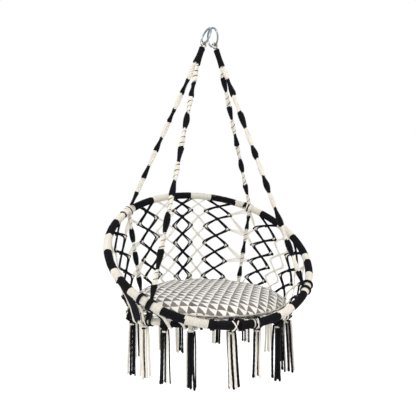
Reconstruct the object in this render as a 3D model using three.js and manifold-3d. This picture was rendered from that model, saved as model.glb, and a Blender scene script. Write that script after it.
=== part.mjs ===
// Macrame hammock chair: two steel rings, four knotted ropes, a tilted hoop, a seat ring, nets,
// a cushion and tassels. Millimetres, +Z up, front of the chair towards -Y.
// The origin is where the hook bears, under the crowns of the two rings.
import * as THREE from "three";
import { mergeVertices } from "three/addons/utils/BufferGeometryUtils.js";
import Module from "manifold-3d";

// Driving dimensions
const HOOP_OUTER_DIAMETER = 815;
const TUB_HEIGHT = 530;
const CUSHION_DIAMETER = 600;
const CUSHION_TO_RING_EDGE = 27;
const SEAT_RING_OUTER_DIAMETER = CUSHION_DIAMETER + 2 * CUSHION_TO_RING_EDGE;
const SEAT_DEPTH = 1083;
const SEAT_SETBACK_LENGTH = 20;

// Steel tubes of the hoop and the seat ring, and the cord wound round them
const HOOP_TUBE_DIAMETER = 18;
const HOOP_WRAP_DIAMETER = 30;
const SEAT_TUBE_DIAMETER = 16;
const SEAT_WRAP_DIAMETER = 28;
const TUBE_WALL_THICKNESS = 1.5;
const WRAP_SEAM_GAP = 3;
const HOOP_TO_RING_GAP = 8;

// Hanging rings and the rope eyes that sit in them
const HANG_RING_OUTER_DIAMETER = 68;
const HANG_RING_WIRE_DIAMETER = 7;
const HANG_RING_GAP = 1.4;
const EYE_CORD_DIAMETER = 9;
const EYE_CLEARANCE = 0.9;
const EYE_NECK_LENGTH = 13;
const WHIPPING_LENGTH = 63;
const WHIPPING_WALL_THICKNESS = 2.8;
const WHIPPING_WAIST_DEPTH = 0.8;
const LEG_GAP = 0.6;

// Knotted ropes
const ROPE_JOINT_DIAMETER = 12;
const ROPE_SWELL_DIAMETER = 20;
const FIRST_SWELL_DIAMETER = 10;
const LOWER_ROPE_SWELL_DIAMETER = 16;
const ROPE_STRAIGHT_LENGTH = 9;
const ROPE_SPLAY_LENGTH = 2.5;
const HITCH_WALL_THICKNESS = 8;
const HITCH_WIDTH = 22;

// Cords of the nets
const NET_CORD_WIDTH = 8;
const NET_CORD_THICKNESS = 5;
const NET_FIRST_KNOT_DEPTH = 21;
const NET_ROW_HEIGHT = 75;
const NET_SHORT_ROW_HEIGHT = 57;
const COLUMN_GAP = 0.6;
const SEAT_NET_CORD_WIDTH = 9;
const SEAT_NET_THICKNESS = 6;
const SEAT_NET_RIM_GAP = 9;
const SEAT_NET_HUB_RADIUS = 60;
const SEAT_NET_RIM_WIDTH = 10;

// Lashings that tie the hoop's front to the seat ring
const LASHING_CORD_THICKNESS = 5;
const LASHING_WIDTH = 13;

// Cushion: a round stuffed pad with one seam round its edge, propped up at its back
const CUSHION_SEAM_HEIGHT = 58;
const CUSHION_CROWN_RISE_HEIGHT = 36;
const CUSHION_FLAT_INSET_WIDTH = 60;
const CUSHION_SIDE_SHIFT = 8;
const CUSHION_FORWARD_SHIFT = 12;
const CUSHION_PUCKER_DEPTH = 4;

// Tassels
const TASSEL_LENGTH = 226;
const TASSEL_LOOP_THICKNESS = 6;
const TASSEL_LOOP_WIDTH = 13;
const TASSEL_KNOT_DIAMETER = 20;
const TASSEL_KNOT_LENGTH = 22;
const TASSEL_STRAND_DIAMETER = 8;
const TASSEL_SPREAD_RADIUS = 15;

// Clearances between pieces that touch, and the overrun of pieces joined into one body
const CLEARANCE = 0.3;
const CORD_CLEARANCE = 0.35;
const LOOP_CLEARANCE = 0.5;
const LASHING_CLEARANCE = 1;
const JOIN_OVERLAP_LENGTH = 2;

// Angles, in degrees, seen from above: 0 is the chair's right, 90 its back, 270 its front
const BAND_PHASE = 5.5;
const BANDS = 24;
const BACK_ROPE_ANGLES = [140.5, 50.5];
const FRONT_ROPE_ANGLES = [227.6, 322];
const FRONT_ROPE_FOOT_ANGLES = [213.5, 325.9];
const LASHING_ANGLES = [257.2, 273.3, 281];
const CUSHION_TILT = 7.1;
const BLACK_COLUMN_ANGLES = [-24.5, 4.5, 35.5, 72.5, 97.8, 125.2, 157, 185.5];
const BLACK_COLUMN_HALF_ANGLES = [8.2, 8.2, 8.5, 8.4, 6, 7.4, 8.6, 8.2];
const CREAM_COLUMN_ANGLES = [-9.8, 19.8, 86.4, 110.8, 171.2, 200.5];
const CREAM_COLUMN_HALF_ANGLES = [6, 6.5, 4.9, 6.4, 5.2, 6.2];
const ROPE_COLUMN_HALF_ANGLES = [7.2, 6.2];
const SHORT_ROW_COLUMN_ANGLES = [72.5, 86.4, 97.8];
const SEAM_ANGLE = 271;
const TASSEL_ANGLES = [
  190, 208.8, 227.2, 244.7, 269.2, 287.6, 307.4, 329.9, 355, 14.6, 40, 67, 101.2, 118, 149.2,
];
const HITCH_TAB_ANGLE = 4;
const TASSEL_TAB_ANGLE = 3;
const RING_LEAN = 17;
const RING_TWIST = 20;
const WHIPPING_LEAN = 21;

// Counts
const RING_STEPS = 48;
const WRAP_SIDES = 10;
const HANG_WIRE_SIDES = 6;
const HANG_RING_STEPS = 28;
const EYE_SIDES = 8;
const WHIPPING_SIDES = 14;
const ROPE_SIDES = 6;
const HITCH_SIDES = 10;
const TASSEL_LOOP_SIDES = 8;
const FRONT_ROPE_SECTIONS = 14;
const BACK_ROPE_SECTIONS = 10;
const BACK_ROPE_LOWER_SECTIONS = 7;
const FRONT_ROPE_LOWER_SECTIONS = 2;
const SEAT_NET_PETALS = 16;
const SEAT_NET_ROWS = 3;
const TASSEL_STRANDS = 5;

// Sizes worked out from those above
const HOOP_RADIUS = (HOOP_OUTER_DIAMETER - HOOP_WRAP_DIAMETER) / 2;
const HOOP_TILT = Math.asin((TUB_HEIGHT - HOOP_WRAP_DIAMETER) / (2 * HOOP_RADIUS));
const SEAT_RADIUS = (SEAT_RING_OUTER_DIAMETER - SEAT_WRAP_DIAMETER) / 2;
const SEAT_CENTRE = new THREE.Vector3(0, SEAT_SETBACK_LENGTH, -SEAT_DEPTH);
const HOOP_FRONT = new THREE.Vector3(
  0,
  -SEAT_RADIUS - (HOOP_WRAP_DIAMETER + SEAT_WRAP_DIAMETER) / 2 - HOOP_TO_RING_GAP,
  (HOOP_WRAP_DIAMETER - SEAT_WRAP_DIAMETER) / 2,
).add(SEAT_CENTRE);
const HANG_RING_RADIUS = (HANG_RING_OUTER_DIAMETER - HANG_RING_WIRE_DIAMETER) / 2;
const FULL_TURN = 2 * Math.PI;
const PITCH = 360 / BANDS;

const CREAM = new THREE.MeshStandardMaterial({ color: 0xede6d6, roughness: 0.95, metalness: 0 });
const BLACK = new THREE.MeshStandardMaterial({ color: 0x1b1c20, roughness: 0.95, metalness: 0 });
const STEEL = new THREE.MeshStandardMaterial({ color: 0x8f989c, roughness: 0.3, metalness: 1 });
const PRINT = new THREE.MeshStandardMaterial({ color: 0xd9d5cf, roughness: 0.9, metalness: 0 });

const wasm = await Module();
wasm.setup();
const chair = new THREE.Group();

const radians = (degrees) => (degrees * Math.PI) / 180;
const lerp = (a, b, t) => a.clone().lerp(b, t);

// Chord of a ring made of straight steps from its seam round: its ends, and the share of it at an angle
function stepAt(radius, degrees) {
  const seam = WRAP_SEAM_GAP / radius;
  const start = radians(SEAM_ANGLE) + seam / 2;
  const step = (FULL_TURN - seam) / RING_STEPS;
  const turn = (((radians(degrees) - start) % FULL_TURN) + FULL_TURN) % FULL_TURN;
  const index = Math.min(Math.floor(turn / step), RING_STEPS - 1);
  const into = Math.sin(turn - index * step);
  const left = Math.sin((index + 1) * step - turn);
  const from = start + index * step;
  return { from, to: from + step, share: into / (into + left) };
}

// Point and direction of the seat ring's centreline at an angle
function seatCircle(a) {
  return new THREE.Vector3(SEAT_RADIUS * Math.cos(a), SEAT_RADIUS * Math.sin(a), 0).add(SEAT_CENTRE);
}

function seatPoint(degrees) {
  const { from, to, share } = stepAt(SEAT_RADIUS, degrees);
  return seatCircle(from).lerp(seatCircle(to), share);
}

function seatTangent(degrees) {
  const { from, to } = stepAt(SEAT_RADIUS, degrees);
  return seatCircle(to).sub(seatCircle(from)).normalize();
}

// The same for the hoop, which leans up and back from its front
function hoopCircle(a) {
  const along = HOOP_RADIUS * (1 + Math.sin(a));
  return new THREE.Vector3(
    HOOP_RADIUS * Math.cos(a),
    along * Math.cos(HOOP_TILT),
    along * Math.sin(HOOP_TILT),
  ).add(HOOP_FRONT);
}

function hoopPoint(degrees) {
  const { from, to, share } = stepAt(HOOP_RADIUS, degrees);
  return hoopCircle(from).lerp(hoopCircle(to), share);
}

function hoopTangent(degrees) {
  const { from, to } = stepAt(HOOP_RADIUS, degrees);
  return hoopCircle(to).sub(hoopCircle(from)).normalize();
}

function addPiece(name, geometry, material) {
  const mesh = new THREE.Mesh(geometry, material);
  mesh.name = name;
  chair.add(mesh);
}

// A closed three.js mesh as a solid, for joining
function solidOf(geometry) {
  const bare = geometry.clone();
  bare.deleteAttribute("normal");
  bare.deleteAttribute("uv");
  const merged = mergeVertices(bare);
  return new wasm.Manifold(
    new wasm.Mesh({
      numProp: 3,
      vertProperties: new Float32Array(merged.attributes.position.array),
      triVerts: new Uint32Array(merged.index.array),
    }),
  );
}

// Several closed meshes joined into one body
function joined(geometries) {
  const body = geometries.map(solidOf).reduce((a, b) => a.add(b));
  const mesh = body.getMesh();
  const geometry = new THREE.BufferGeometry();
  geometry.setAttribute("position", new THREE.BufferAttribute(mesh.vertProperties.slice(), 3));
  geometry.setIndex(new THREE.BufferAttribute(mesh.triVerts.slice(), 1));
  return geometry;
}

// A round section carried along points, with its own radius at each point and flat ends
function loft(points, radii, sides) {
  const positions = [];
  const indices = [];
  const count = points.length;
  let normal = null;
  for (let i = 0; i < count; i++) {
    const before = points[Math.max(i - 1, 0)];
    const after = points[Math.min(i + 1, count - 1)];
    const tangent = after.clone().sub(before).normalize();
    if (!normal) {
      const helper = Math.abs(tangent.x) < Math.abs(tangent.y) ? [1, 0, 0] : [0, 1, 0];
      normal = new THREE.Vector3(...helper);
    }
    normal.addScaledVector(tangent, -normal.dot(tangent)).normalize();
    const side = tangent.clone().cross(normal);
    for (let j = 0; j < sides; j++) {
      const a = (FULL_TURN * j) / sides;
      const p = points[i]
        .clone()
        .addScaledVector(normal, radii[i] * Math.cos(a))
        .addScaledVector(side, radii[i] * Math.sin(a));
      positions.push(p.x, p.y, p.z);
    }
  }
  for (let i = 0; i + 1 < count; i++) {
    for (let j = 0; j < sides; j++) {
      const a = i * sides + j;
      const b = i * sides + ((j + 1) % sides);
      indices.push(a, b, b + sides, a, b + sides, a + sides);
    }
  }
  const last = (count - 1) * sides;
  for (let j = 1; j + 1 < sides; j++) {
    indices.push(0, j + 1, j);
    indices.push(last, last + j, last + j + 1);
  }
  const geometry = new THREE.BufferGeometry();
  geometry.setAttribute("position", new THREE.Float32BufferAttribute(positions, 3));
  geometry.setIndex(indices);
  return geometry;
}

function polygon(radius, sides) {
  return Array.from({ length: sides }, (_, i) => {
    const a = (FULL_TURN * i) / sides;
    return new THREE.Vector2(radius * Math.cos(a), radius * Math.sin(a));
  });
}

// A polygon that a circle of this radius just fits in
function polygonRound(radius, sides) {
  return polygon(radius / Math.cos(Math.PI / sides), sides);
}

// A short collar round an axis: outline and bore, with its middle at a point
function collar(centre, axis, outline, bore, width) {
  const shape = new THREE.Shape(outline);
  shape.holes.push(new THREE.Path(bore));
  const geometry = new THREE.ExtrudeGeometry(shape, { depth: width, bevelEnabled: false, steps: 1 });
  geometry.translate(0, 0, -width / 2);
  const down = new THREE.Vector3(0, 0, -1);
  const x = down.clone().addScaledVector(axis, -down.dot(axis)).normalize();
  const y = axis.clone().cross(x);
  geometry.applyMatrix4(new THREE.Matrix4().makeBasis(x, y, axis).setPosition(centre));
  return geometry;
}

// Circle path in the plane of two directions, open by a seam at its start
class RingPath extends THREE.Curve {
  constructor(centre, along, across, radius, start, sweep) {
    super();
    Object.assign(this, { centre, along, across, radius, start, sweep });
  }
  getPoint(t, target = new THREE.Vector3()) {
    const a = this.start + t * this.sweep;
    return target
      .copy(this.centre)
      .addScaledVector(this.along, this.radius * Math.cos(a))
      .addScaledVector(this.across, this.radius * Math.sin(a));
  }
  getPointAt(t, target) {
    return this.getPoint(t, target);
  }
}

// A sleeve bent all the way round a ring, open at one fine seam
function bentSleeve(centre, across, radius, outline, bore) {
  const shape = new THREE.Shape(outline);
  shape.holes.push(new THREE.Path(bore));
  const seam = WRAP_SEAM_GAP / radius;
  const start = radians(SEAM_ANGLE) + seam / 2;
  const path = new RingPath(centre, new THREE.Vector3(1, 0, 0), across, radius, start, FULL_TURN - seam);
  return new THREE.ExtrudeGeometry(shape, { steps: RING_STEPS, extrudePath: path });
}

// A bent steel tube and the cord wound over it
function addWoundRing(name, centre, across, radius, tubeDiameter, wrapDiameter) {
  const tubeSides = 6;
  const corner = Math.cos(Math.PI / tubeSides);
  const tube = polygon(tubeDiameter / 2, tubeSides);
  const tubeBore = polygon(tubeDiameter / 2 - TUBE_WALL_THICKNESS, tubeSides);
  const winding = polygon(wrapDiameter / 2, WRAP_SIDES);
  const windingBore = polygon(tubeDiameter / 2 + CLEARANCE / corner, tubeSides);
  addPiece(`${name}_tube`, bentSleeve(centre, across, radius, tube, tubeBore), STEEL);
  addPiece(`${name}_wrap`, bentSleeve(centre, across, radius, winding, windingBore), CREAM);
}

function addRings() {
  const lean = new THREE.Vector3(0, Math.cos(HOOP_TILT), Math.sin(HOOP_TILT));
  const level = new THREE.Vector3(0, 1, 0);
  const hoopCentre = HOOP_FRONT.clone().addScaledVector(lean, HOOP_RADIUS);
  addWoundRing("hoop", hoopCentre, lean, HOOP_RADIUS, HOOP_TUBE_DIAMETER, HOOP_WRAP_DIAMETER);
  addWoundRing("seat_ring", SEAT_CENTRE, level, SEAT_RADIUS, SEAT_TUBE_DIAMETER, SEAT_WRAP_DIAMETER);
}

// The frame of one hanging ring: side is -1 on the left and 1 on the right
function hangRingFrame(side) {
  const lean = radians(RING_LEAN);
  const twist = radians(RING_TWIST);
  const down = new THREE.Vector3(side * Math.sin(lean), 0, -Math.cos(lean));
  const flat = new THREE.Vector3(-Math.sin(twist), Math.cos(twist), 0);
  flat.addScaledVector(down, -flat.dot(down)).normalize();
  const apart = (side * (HANG_RING_WIRE_DIAMETER + HANG_RING_GAP)) / 2;
  const top = new THREE.Vector3(apart, 0, HANG_RING_WIRE_DIAMETER / 2);
  const centre = top.clone().addScaledVector(down, HANG_RING_RADIUS);
  const bottom = top.clone().addScaledVector(down, 2 * HANG_RING_RADIUS);
  return { down, flat, centre, bottom };
}

function addHangRing(name, side) {
  const { down, flat, centre } = hangRingFrame(side);
  const wire = HANG_RING_WIRE_DIAMETER / 2;
  const geometry = new THREE.TorusGeometry(HANG_RING_RADIUS, wire, HANG_WIRE_SIDES, HANG_RING_STEPS);
  const turn = new THREE.Matrix4().makeBasis(down, flat, down.clone().cross(flat));
  geometry.applyMatrix4(turn.setPosition(centre));
  addPiece(name, geometry, STEEL);
}

// Where the eye's neck and its whipping lie below one hanging ring
function neckFrame(side) {
  const { bottom, flat } = hangRingFrame(side);
  const lean = radians(WHIPPING_LEAN);
  const down = new THREE.Vector3(side * Math.sin(lean), 0, -Math.cos(lean));
  const across = flat.clone().cross(down).normalize();
  if (across.x < 0) across.negate();
  const top = bottom.clone().addScaledVector(down, HANG_RING_WIRE_DIAMETER / 2 + EYE_NECK_LENGTH);
  const end = top.clone().addScaledVector(down, WHIPPING_LENGTH);
  return { bottom, down, across, top, end };
}

const LEG_OFFSET = (EYE_CORD_DIAMETER + LEG_GAP) / 2;
const WHIPPING_BORE = (EYE_CORD_DIAMETER / 2 + LEG_OFFSET + CLEARANCE) / Math.cos(Math.PI / WHIPPING_SIDES);

// Eye of rope over a hanging ring's wire: up one leg, round the wire, down the other
function addEye(name, side) {
  const { bottom, down, across, top } = neckFrame(side);
  const saddle = (HANG_RING_WIRE_DIAMETER + EYE_CORD_DIAMETER) / 2 + EYE_CLEARANCE;
  const place = (x, d) => bottom.clone().addScaledVector(across, x).addScaledVector(down, d);
  const legEnd = top.clone().addScaledVector(down, WHIPPING_LENGTH / 2 - CLEARANCE).sub(bottom).dot(down);
  const neck = top.clone().sub(bottom).dot(down);
  const points = [place(-LEG_OFFSET, legEnd), place(-LEG_OFFSET, neck)];
  const arcSteps = 8;
  for (let i = 0; i <= arcSteps; i++) {
    const a = (Math.PI * i) / arcSteps;
    points.push(place(-saddle * Math.cos(a), -saddle * Math.sin(a)));
  }
  points.push(place(LEG_OFFSET, neck), place(LEG_OFFSET, legEnd));
  addPiece(name, loft(points, points.map(() => EYE_CORD_DIAMETER / 2), EYE_SIDES), CREAM);
}

// Black whipping that binds the eye's two legs and the tops of two ropes
function addWhipping(name, side) {
  const { down, top } = neckFrame(side);
  const outer = WHIPPING_BORE + WHIPPING_WALL_THICKNESS;
  const profile = [
    new THREE.Vector2(WHIPPING_BORE, 0),
    new THREE.Vector2(outer, 0),
    new THREE.Vector2(outer - WHIPPING_WAIST_DEPTH, WHIPPING_LENGTH / 2),
    new THREE.Vector2(outer, WHIPPING_LENGTH),
    new THREE.Vector2(WHIPPING_BORE, WHIPPING_LENGTH),
    new THREE.Vector2(WHIPPING_BORE, 0),
  ];
  const geometry = new THREE.LatheGeometry(profile, WHIPPING_SIDES);
  geometry.applyQuaternion(new THREE.Quaternion().setFromUnitVectors(new THREE.Vector3(0, 1, 0), down));
  geometry.translate(...top.toArray());
  addPiece(name, geometry, BLACK);
}

// Stations of a knotted rope between two points: it swells in the middle of each section
function knottedRun(from, to, sections, swell) {
  const points = [];
  const radii = [];
  for (let i = 0; i <= 2 * sections; i++) {
    points.push(lerp(from, to, i / (2 * sections)));
    radii.push((i % 2 ? swell : ROPE_JOINT_DIAMETER) / 2);
  }
  return { points, radii };
}

// Two turns of rope round a wrapped tube
function hitch(centre, axis, wrapDiameter) {
  const bore = wrapDiameter / 2 + LOOP_CLEARANCE;
  const outline = polygon(bore + HITCH_WALL_THICKNESS, HITCH_SIDES);
  return collar(centre, axis, outline, polygonRound(bore, HITCH_SIDES), HITCH_WIDTH);
}

// One rope: out of the whipping to a hitch round the hoop, and on to a hitch round the seat ring
function ropeParts(side, leg, hoopAngle, footAngle, sections, lowerSections) {
  const { down, across, top, end } = neckFrame(side);
  const shift = across.clone().multiplyScalar(leg * LEG_OFFSET);
  const start = lerp(top, end, 1 / 2).addScaledVector(down, CLEARANCE).add(shift);
  const exit = end.clone().addScaledVector(down, ROPE_STRAIGHT_LENGTH).add(shift);
  const hoop = hoopPoint(hoopAngle);
  const foot = seatPoint(footAngle);
  exit.y += Math.sign(foot.y - end.y) * ROPE_SPLAY_LENGTH;
  const intoHitch = (centre, tangent, wrapDiameter, other) => {
    const towards = other.clone().sub(centre).normalize();
    const slant = Math.abs(towards.dot(tangent));
    const square = towards.addScaledVector(tangent, -towards.dot(tangent)).normalize();
    const bite = wrapDiameter / 2 + LOOP_CLEARANCE + HITCH_WALL_THICKNESS / 4;
    return centre.clone().addScaledVector(square, bite + (slant * ROPE_JOINT_DIAMETER) / 2);
  };
  const hoopTop = intoHitch(hoop, hoopTangent(hoopAngle), HOOP_WRAP_DIAMETER, exit);
  const hoopUnder = intoHitch(hoop, hoopTangent(hoopAngle), HOOP_WRAP_DIAMETER, foot);
  const footTop = intoHitch(foot, seatTangent(footAngle), SEAT_WRAP_DIAMETER, hoop);
  const upper = knottedRun(exit, hoopTop, sections, ROPE_SWELL_DIAMETER);
  upper.points.unshift(start, end.clone().add(shift));
  upper.radii[0] = EYE_CORD_DIAMETER / 2;
  upper.radii[1] = FIRST_SWELL_DIAMETER / 2;
  upper.radii.unshift(EYE_CORD_DIAMETER / 2, EYE_CORD_DIAMETER / 2);
  const lower = knottedRun(hoopUnder, footTop, lowerSections, LOWER_ROPE_SWELL_DIAMETER);
  return [
    loft(upper.points, upper.radii, ROPE_SIDES),
    loft(lower.points, lower.radii, ROPE_SIDES),
    hitch(hoop, hoopTangent(hoopAngle), HOOP_WRAP_DIAMETER),
    hitch(foot, seatTangent(footAngle), SEAT_WRAP_DIAMETER),
  ];
}

// Where the net starts below the hoop's winding and where it ends above the seat ring's winding
function netEnds(degrees) {
  const top = hoopPoint(degrees);
  const foot = seatPoint(degrees);
  const down = foot.clone().sub(top).normalize();
  const clear = (diameter, tangent) =>
    (diameter / 2 + CORD_CLEARANCE) / Math.sqrt(1 - down.dot(tangent) ** 2);
  top.addScaledVector(down, clear(HOOP_WRAP_DIAMETER, hoopTangent(degrees)));
  foot.addScaledVector(down, -clear(SEAT_WRAP_DIAMETER, seatTangent(degrees)));
  return [top, foot];
}

function netLength(degrees) {
  const [top, foot] = netEnds(degrees);
  return top.distanceTo(foot);
}

// Point of the net's surface, v from 0 at the hoop to 1 at the seat ring
function netPoint(degrees, v) {
  const [top, foot] = netEnds(degrees);
  return top.lerp(foot, v);
}

function netNormal(degrees, v) {
  const step = PITCH / 8;
  const round = netPoint(degrees + step, v).sub(netPoint(degrees - step, v));
  const down = seatPoint(degrees).sub(hoopPoint(degrees));
  return round.cross(down).normalize();
}

// Depths of a column's knots below the hoop, and its length at the end
function knotDepths(degrees, length) {
  const depths = [NET_FIRST_KNOT_DEPTH];
  if (SHORT_ROW_COLUMN_ANGLES.includes(degrees)) {
    depths.push(NET_FIRST_KNOT_DEPTH + NET_SHORT_ROW_HEIGHT);
  }
  const last = depths[depths.length - 1];
  const rows = Math.max(1, Math.round((length - last) / NET_ROW_HEIGHT));
  for (let k = 1; k <= rows; k++) {
    depths.push(last + ((length - last) * k) / rows);
  }
  return depths;
}

// Flat drawing of one net column: two cords that cross at knots, cut as one outline with diamond gaps
function columnShape(halfWidth, depths) {
  const waist = (NET_CORD_WIDTH * 3) / 4;
  const right = [new THREE.Vector2(halfWidth, 0), new THREE.Vector2(waist, depths[0])];
  const holes = [];
  depths.slice(1).forEach((bottom, k) => {
    const top = depths[k];
    const half = (bottom - top) / 2;
    const run = Math.hypot(halfWidth - waist, half);
    const dx = (halfWidth - waist) / run;
    const dy = half / run;
    const gapTop = (NET_CORD_WIDTH - waist * dy) / dx;
    const gapSide = ((half - gapTop) * dx) / dy;
    right.push(new THREE.Vector2(halfWidth, top + half), new THREE.Vector2(waist, bottom));
    holes.push(
      new THREE.Path([
        new THREE.Vector2(0, top + gapTop),
        new THREE.Vector2(gapSide, top + half),
        new THREE.Vector2(0, bottom - gapTop),
        new THREE.Vector2(-gapSide, top + half),
      ]),
    );
  });
  const left = right.map((p) => new THREE.Vector2(-p.x, p.y)).reverse();
  const slantWidth = (NET_CORD_WIDTH * Math.hypot(halfWidth, NET_FIRST_KNOT_DEPTH)) / NET_FIRST_KNOT_DEPTH;
  const foot = halfWidth - slantWidth;
  const notch = [
    new THREE.Vector2(-foot, 0),
    new THREE.Vector2(0, NET_FIRST_KNOT_DEPTH - (NET_CORD_WIDTH * 3) / 2),
    new THREE.Vector2(foot, 0),
  ];
  const shape = new THREE.Shape([...right, ...left, ...notch]);
  shape.holes = holes;
  return shape;
}

// One column laid on the net's surface between the hoop and the seat ring
function columnGeometry(degrees, halfAngle) {
  const meanRadius = (HOOP_RADIUS + SEAT_RADIUS) / 2;
  const halfWidth = meanRadius * radians(halfAngle);
  const length = netLength(degrees);
  const shape = columnShape(halfWidth, knotDepths(degrees, length));
  const geometry = new THREE.ExtrudeGeometry(shape, {
    depth: NET_CORD_THICKNESS,
    bevelEnabled: false,
    steps: 1,
  });
  const edge = (halfWidth - COLUMN_GAP / 2) / halfWidth;
  const position = geometry.attributes.position;
  for (let i = 0; i < position.count; i++) {
    const angle = degrees + (position.getX(i) / halfWidth) * edge * halfAngle;
    const v = position.getY(i) / length;
    const depth = position.getZ(i) - NET_CORD_THICKNESS / 2;
    const p = netPoint(angle, v).addScaledVector(netNormal(angle, v), depth);
    position.setXYZ(i, p.x, p.y, p.z);
  }
  return geometry;
}

function addNetAndRopes() {
  BLACK_COLUMN_ANGLES.forEach((degrees, k) => {
    addPiece(`net_black_${k + 1}`, columnGeometry(degrees, BLACK_COLUMN_HALF_ANGLES[k]), BLACK);
  });
  CREAM_COLUMN_ANGLES.forEach((degrees, k) => {
    addPiece(`net_cream_${k + 1}`, columnGeometry(degrees, CREAM_COLUMN_HALF_ANGLES[k]), CREAM);
  });
  ["left", "right"].forEach((word, i) => {
    const side = i ? 1 : -1;
    const backAngle = BACK_ROPE_ANGLES[i];
    const back = ropeParts(side, -1, backAngle, backAngle, BACK_ROPE_SECTIONS, BACK_ROPE_LOWER_SECTIONS);
    const column = columnGeometry(backAngle, ROPE_COLUMN_HALF_ANGLES[i]);
    addPiece(`rope_back_${word}`, joined([...back, column]), CREAM);
    const front = ropeParts(
      side,
      1,
      FRONT_ROPE_ANGLES[i],
      FRONT_ROPE_FOOT_ANGLES[i],
      FRONT_ROPE_SECTIONS,
      FRONT_ROPE_LOWER_SECTIONS,
    );
    addPiece(`rope_front_${word}`, joined(front), CREAM);
  });
}

// Seat net: rings of diamonds worked out from the middle, with tabs that reach the seat ring
function addSeatNet() {
  const ringInner = SEAT_RADIUS - SEAT_WRAP_DIAMETER / 2;
  const rimOuter = ringInner - SEAT_NET_RIM_GAP;
  const rimInner = rimOuter - SEAT_NET_RIM_WIDTH;
  const step = FULL_TURN / SEAT_NET_PETALS;
  const at = (radius, angle) => new THREE.Vector2(radius * Math.cos(angle), radius * Math.sin(angle));
  const tabReach = ringInner - CLEARANCE;
  const tabHalf = SEAT_NET_CORD_WIDTH / 2;
  const outline = [];
  const hitches = [...BACK_ROPE_ANGLES, ...FRONT_ROPE_FOOT_ANGLES];
  for (let k = 0; k < BANDS; k++) {
    const tab = BAND_PHASE + k * PITCH;
    const middle = radians(tab);
    const atHitch = hitches.some((angle) => Math.abs(angle - tab) < HITCH_TAB_ANGLE);
    const atLoop = TASSEL_ANGLES.some((angle) => Math.abs(angle - tab) < TASSEL_TAB_ANGLE);
    if (atHitch || atLoop) {
      outline.push(at(rimOuter, middle));
      continue;
    }
    const half = tabHalf / rimOuter;
    outline.push(at(rimOuter, middle - half), at(tabReach, middle - half));
    outline.push(at(tabReach, middle + half), at(rimOuter, middle + half));
  }
  const shape = new THREE.Shape(outline);
  const row = (rimInner - SEAT_NET_HUB_RADIUS) / SEAT_NET_ROWS;
  for (let i = 0; i < SEAT_NET_ROWS; i++) {
    const outer = rimInner - (i - 1) * row;
    const middle = outer - row;
    const inner = middle - row;
    for (let k = 0; k < SEAT_NET_PETALS; k++) {
      const a = (k + (i % 2) / 2) * step;
      const slant = Math.hypot(row, (middle * step) / 2);
      const inset = (SEAT_NET_CORD_WIDTH * slant) / (middle * step);
      const insetSide = ((SEAT_NET_CORD_WIDTH * slant) / (2 * row)) / middle;
      const lower = at(inner + inset, a);
      const right = at(middle, a + step / 2 - insetSide);
      const left = at(middle, a - step / 2 + insetSide);
      const upper = i === 0 ? [] : [at(outer - inset, a)];
      shape.holes.push(new THREE.Path([lower, right, ...upper, left]));
    }
  }
  const geometry = new THREE.ExtrudeGeometry(shape, {
    depth: SEAT_NET_THICKNESS,
    bevelEnabled: false,
    steps: 1,
  });
  geometry.translate(0, 0, -SEAT_NET_THICKNESS / 2);
  geometry.translate(...SEAT_CENTRE.toArray());
  addPiece("seat_net", geometry, CREAM);
}

// Where the hoop's centreline meets the plane across the seat ring at an angle
function hoopInPlane(centre, axis, degrees) {
  const tries = 12;
  let turn = degrees;
  for (let i = 0; i < tries; i++) {
    const off = hoopPoint(turn).sub(centre).dot(axis);
    turn -= (off / HOOP_RADIUS) * (180 / Math.PI);
  }
  return hoopPoint(turn);
}

// Outline round two circles, drawn in the plane across the tubes
function stadium(far, nearRadius, farRadius) {
  const along = far.clone().normalize();
  const base = Math.atan2(along.y, along.x);
  const points = [];
  const steps = 6;
  const corner = Math.cos(Math.PI / (2 * steps));
  const ends = [
    { centre: new THREE.Vector2(0, 0), radius: nearRadius / corner, from: base + Math.PI / 2 },
    { centre: far, radius: farRadius / corner, from: base - Math.PI / 2 },
  ];
  ends.forEach(({ centre, radius, from }) => {
    for (let i = 0; i <= steps; i++) {
      const a = from + (Math.PI * i) / steps;
      points.push(new THREE.Vector2(Math.cos(a), Math.sin(a)).multiplyScalar(radius).add(centre));
    }
  });
  return points;
}

// Lashings: turns of cord round the hoop and the seat ring together
function addLashings() {
  LASHING_ANGLES.forEach((degrees, i) => {
    const centre = seatPoint(degrees);
    const axis = seatTangent(degrees);
    const down = new THREE.Vector3(0, 0, -1);
    const y = axis.clone().cross(down);
    const reach = hoopInPlane(centre, axis, degrees).sub(centre);
    const far = new THREE.Vector2(reach.dot(down), reach.dot(y));
    const near = SEAT_WRAP_DIAMETER / 2 + LASHING_CLEARANCE;
    const farther = HOOP_WRAP_DIAMETER / 2 + LASHING_CLEARANCE;
    const bore = stadium(far, near, farther);
    const outline = stadium(far, near + LASHING_CORD_THICKNESS, farther + LASHING_CORD_THICKNESS);
    const shade = i % 2 ? CREAM : BLACK;
    addPiece(`front_lashing_${i + 1}`, collar(centre, axis, outline, bore, LASHING_WIDTH), shade);
  });
}

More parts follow.
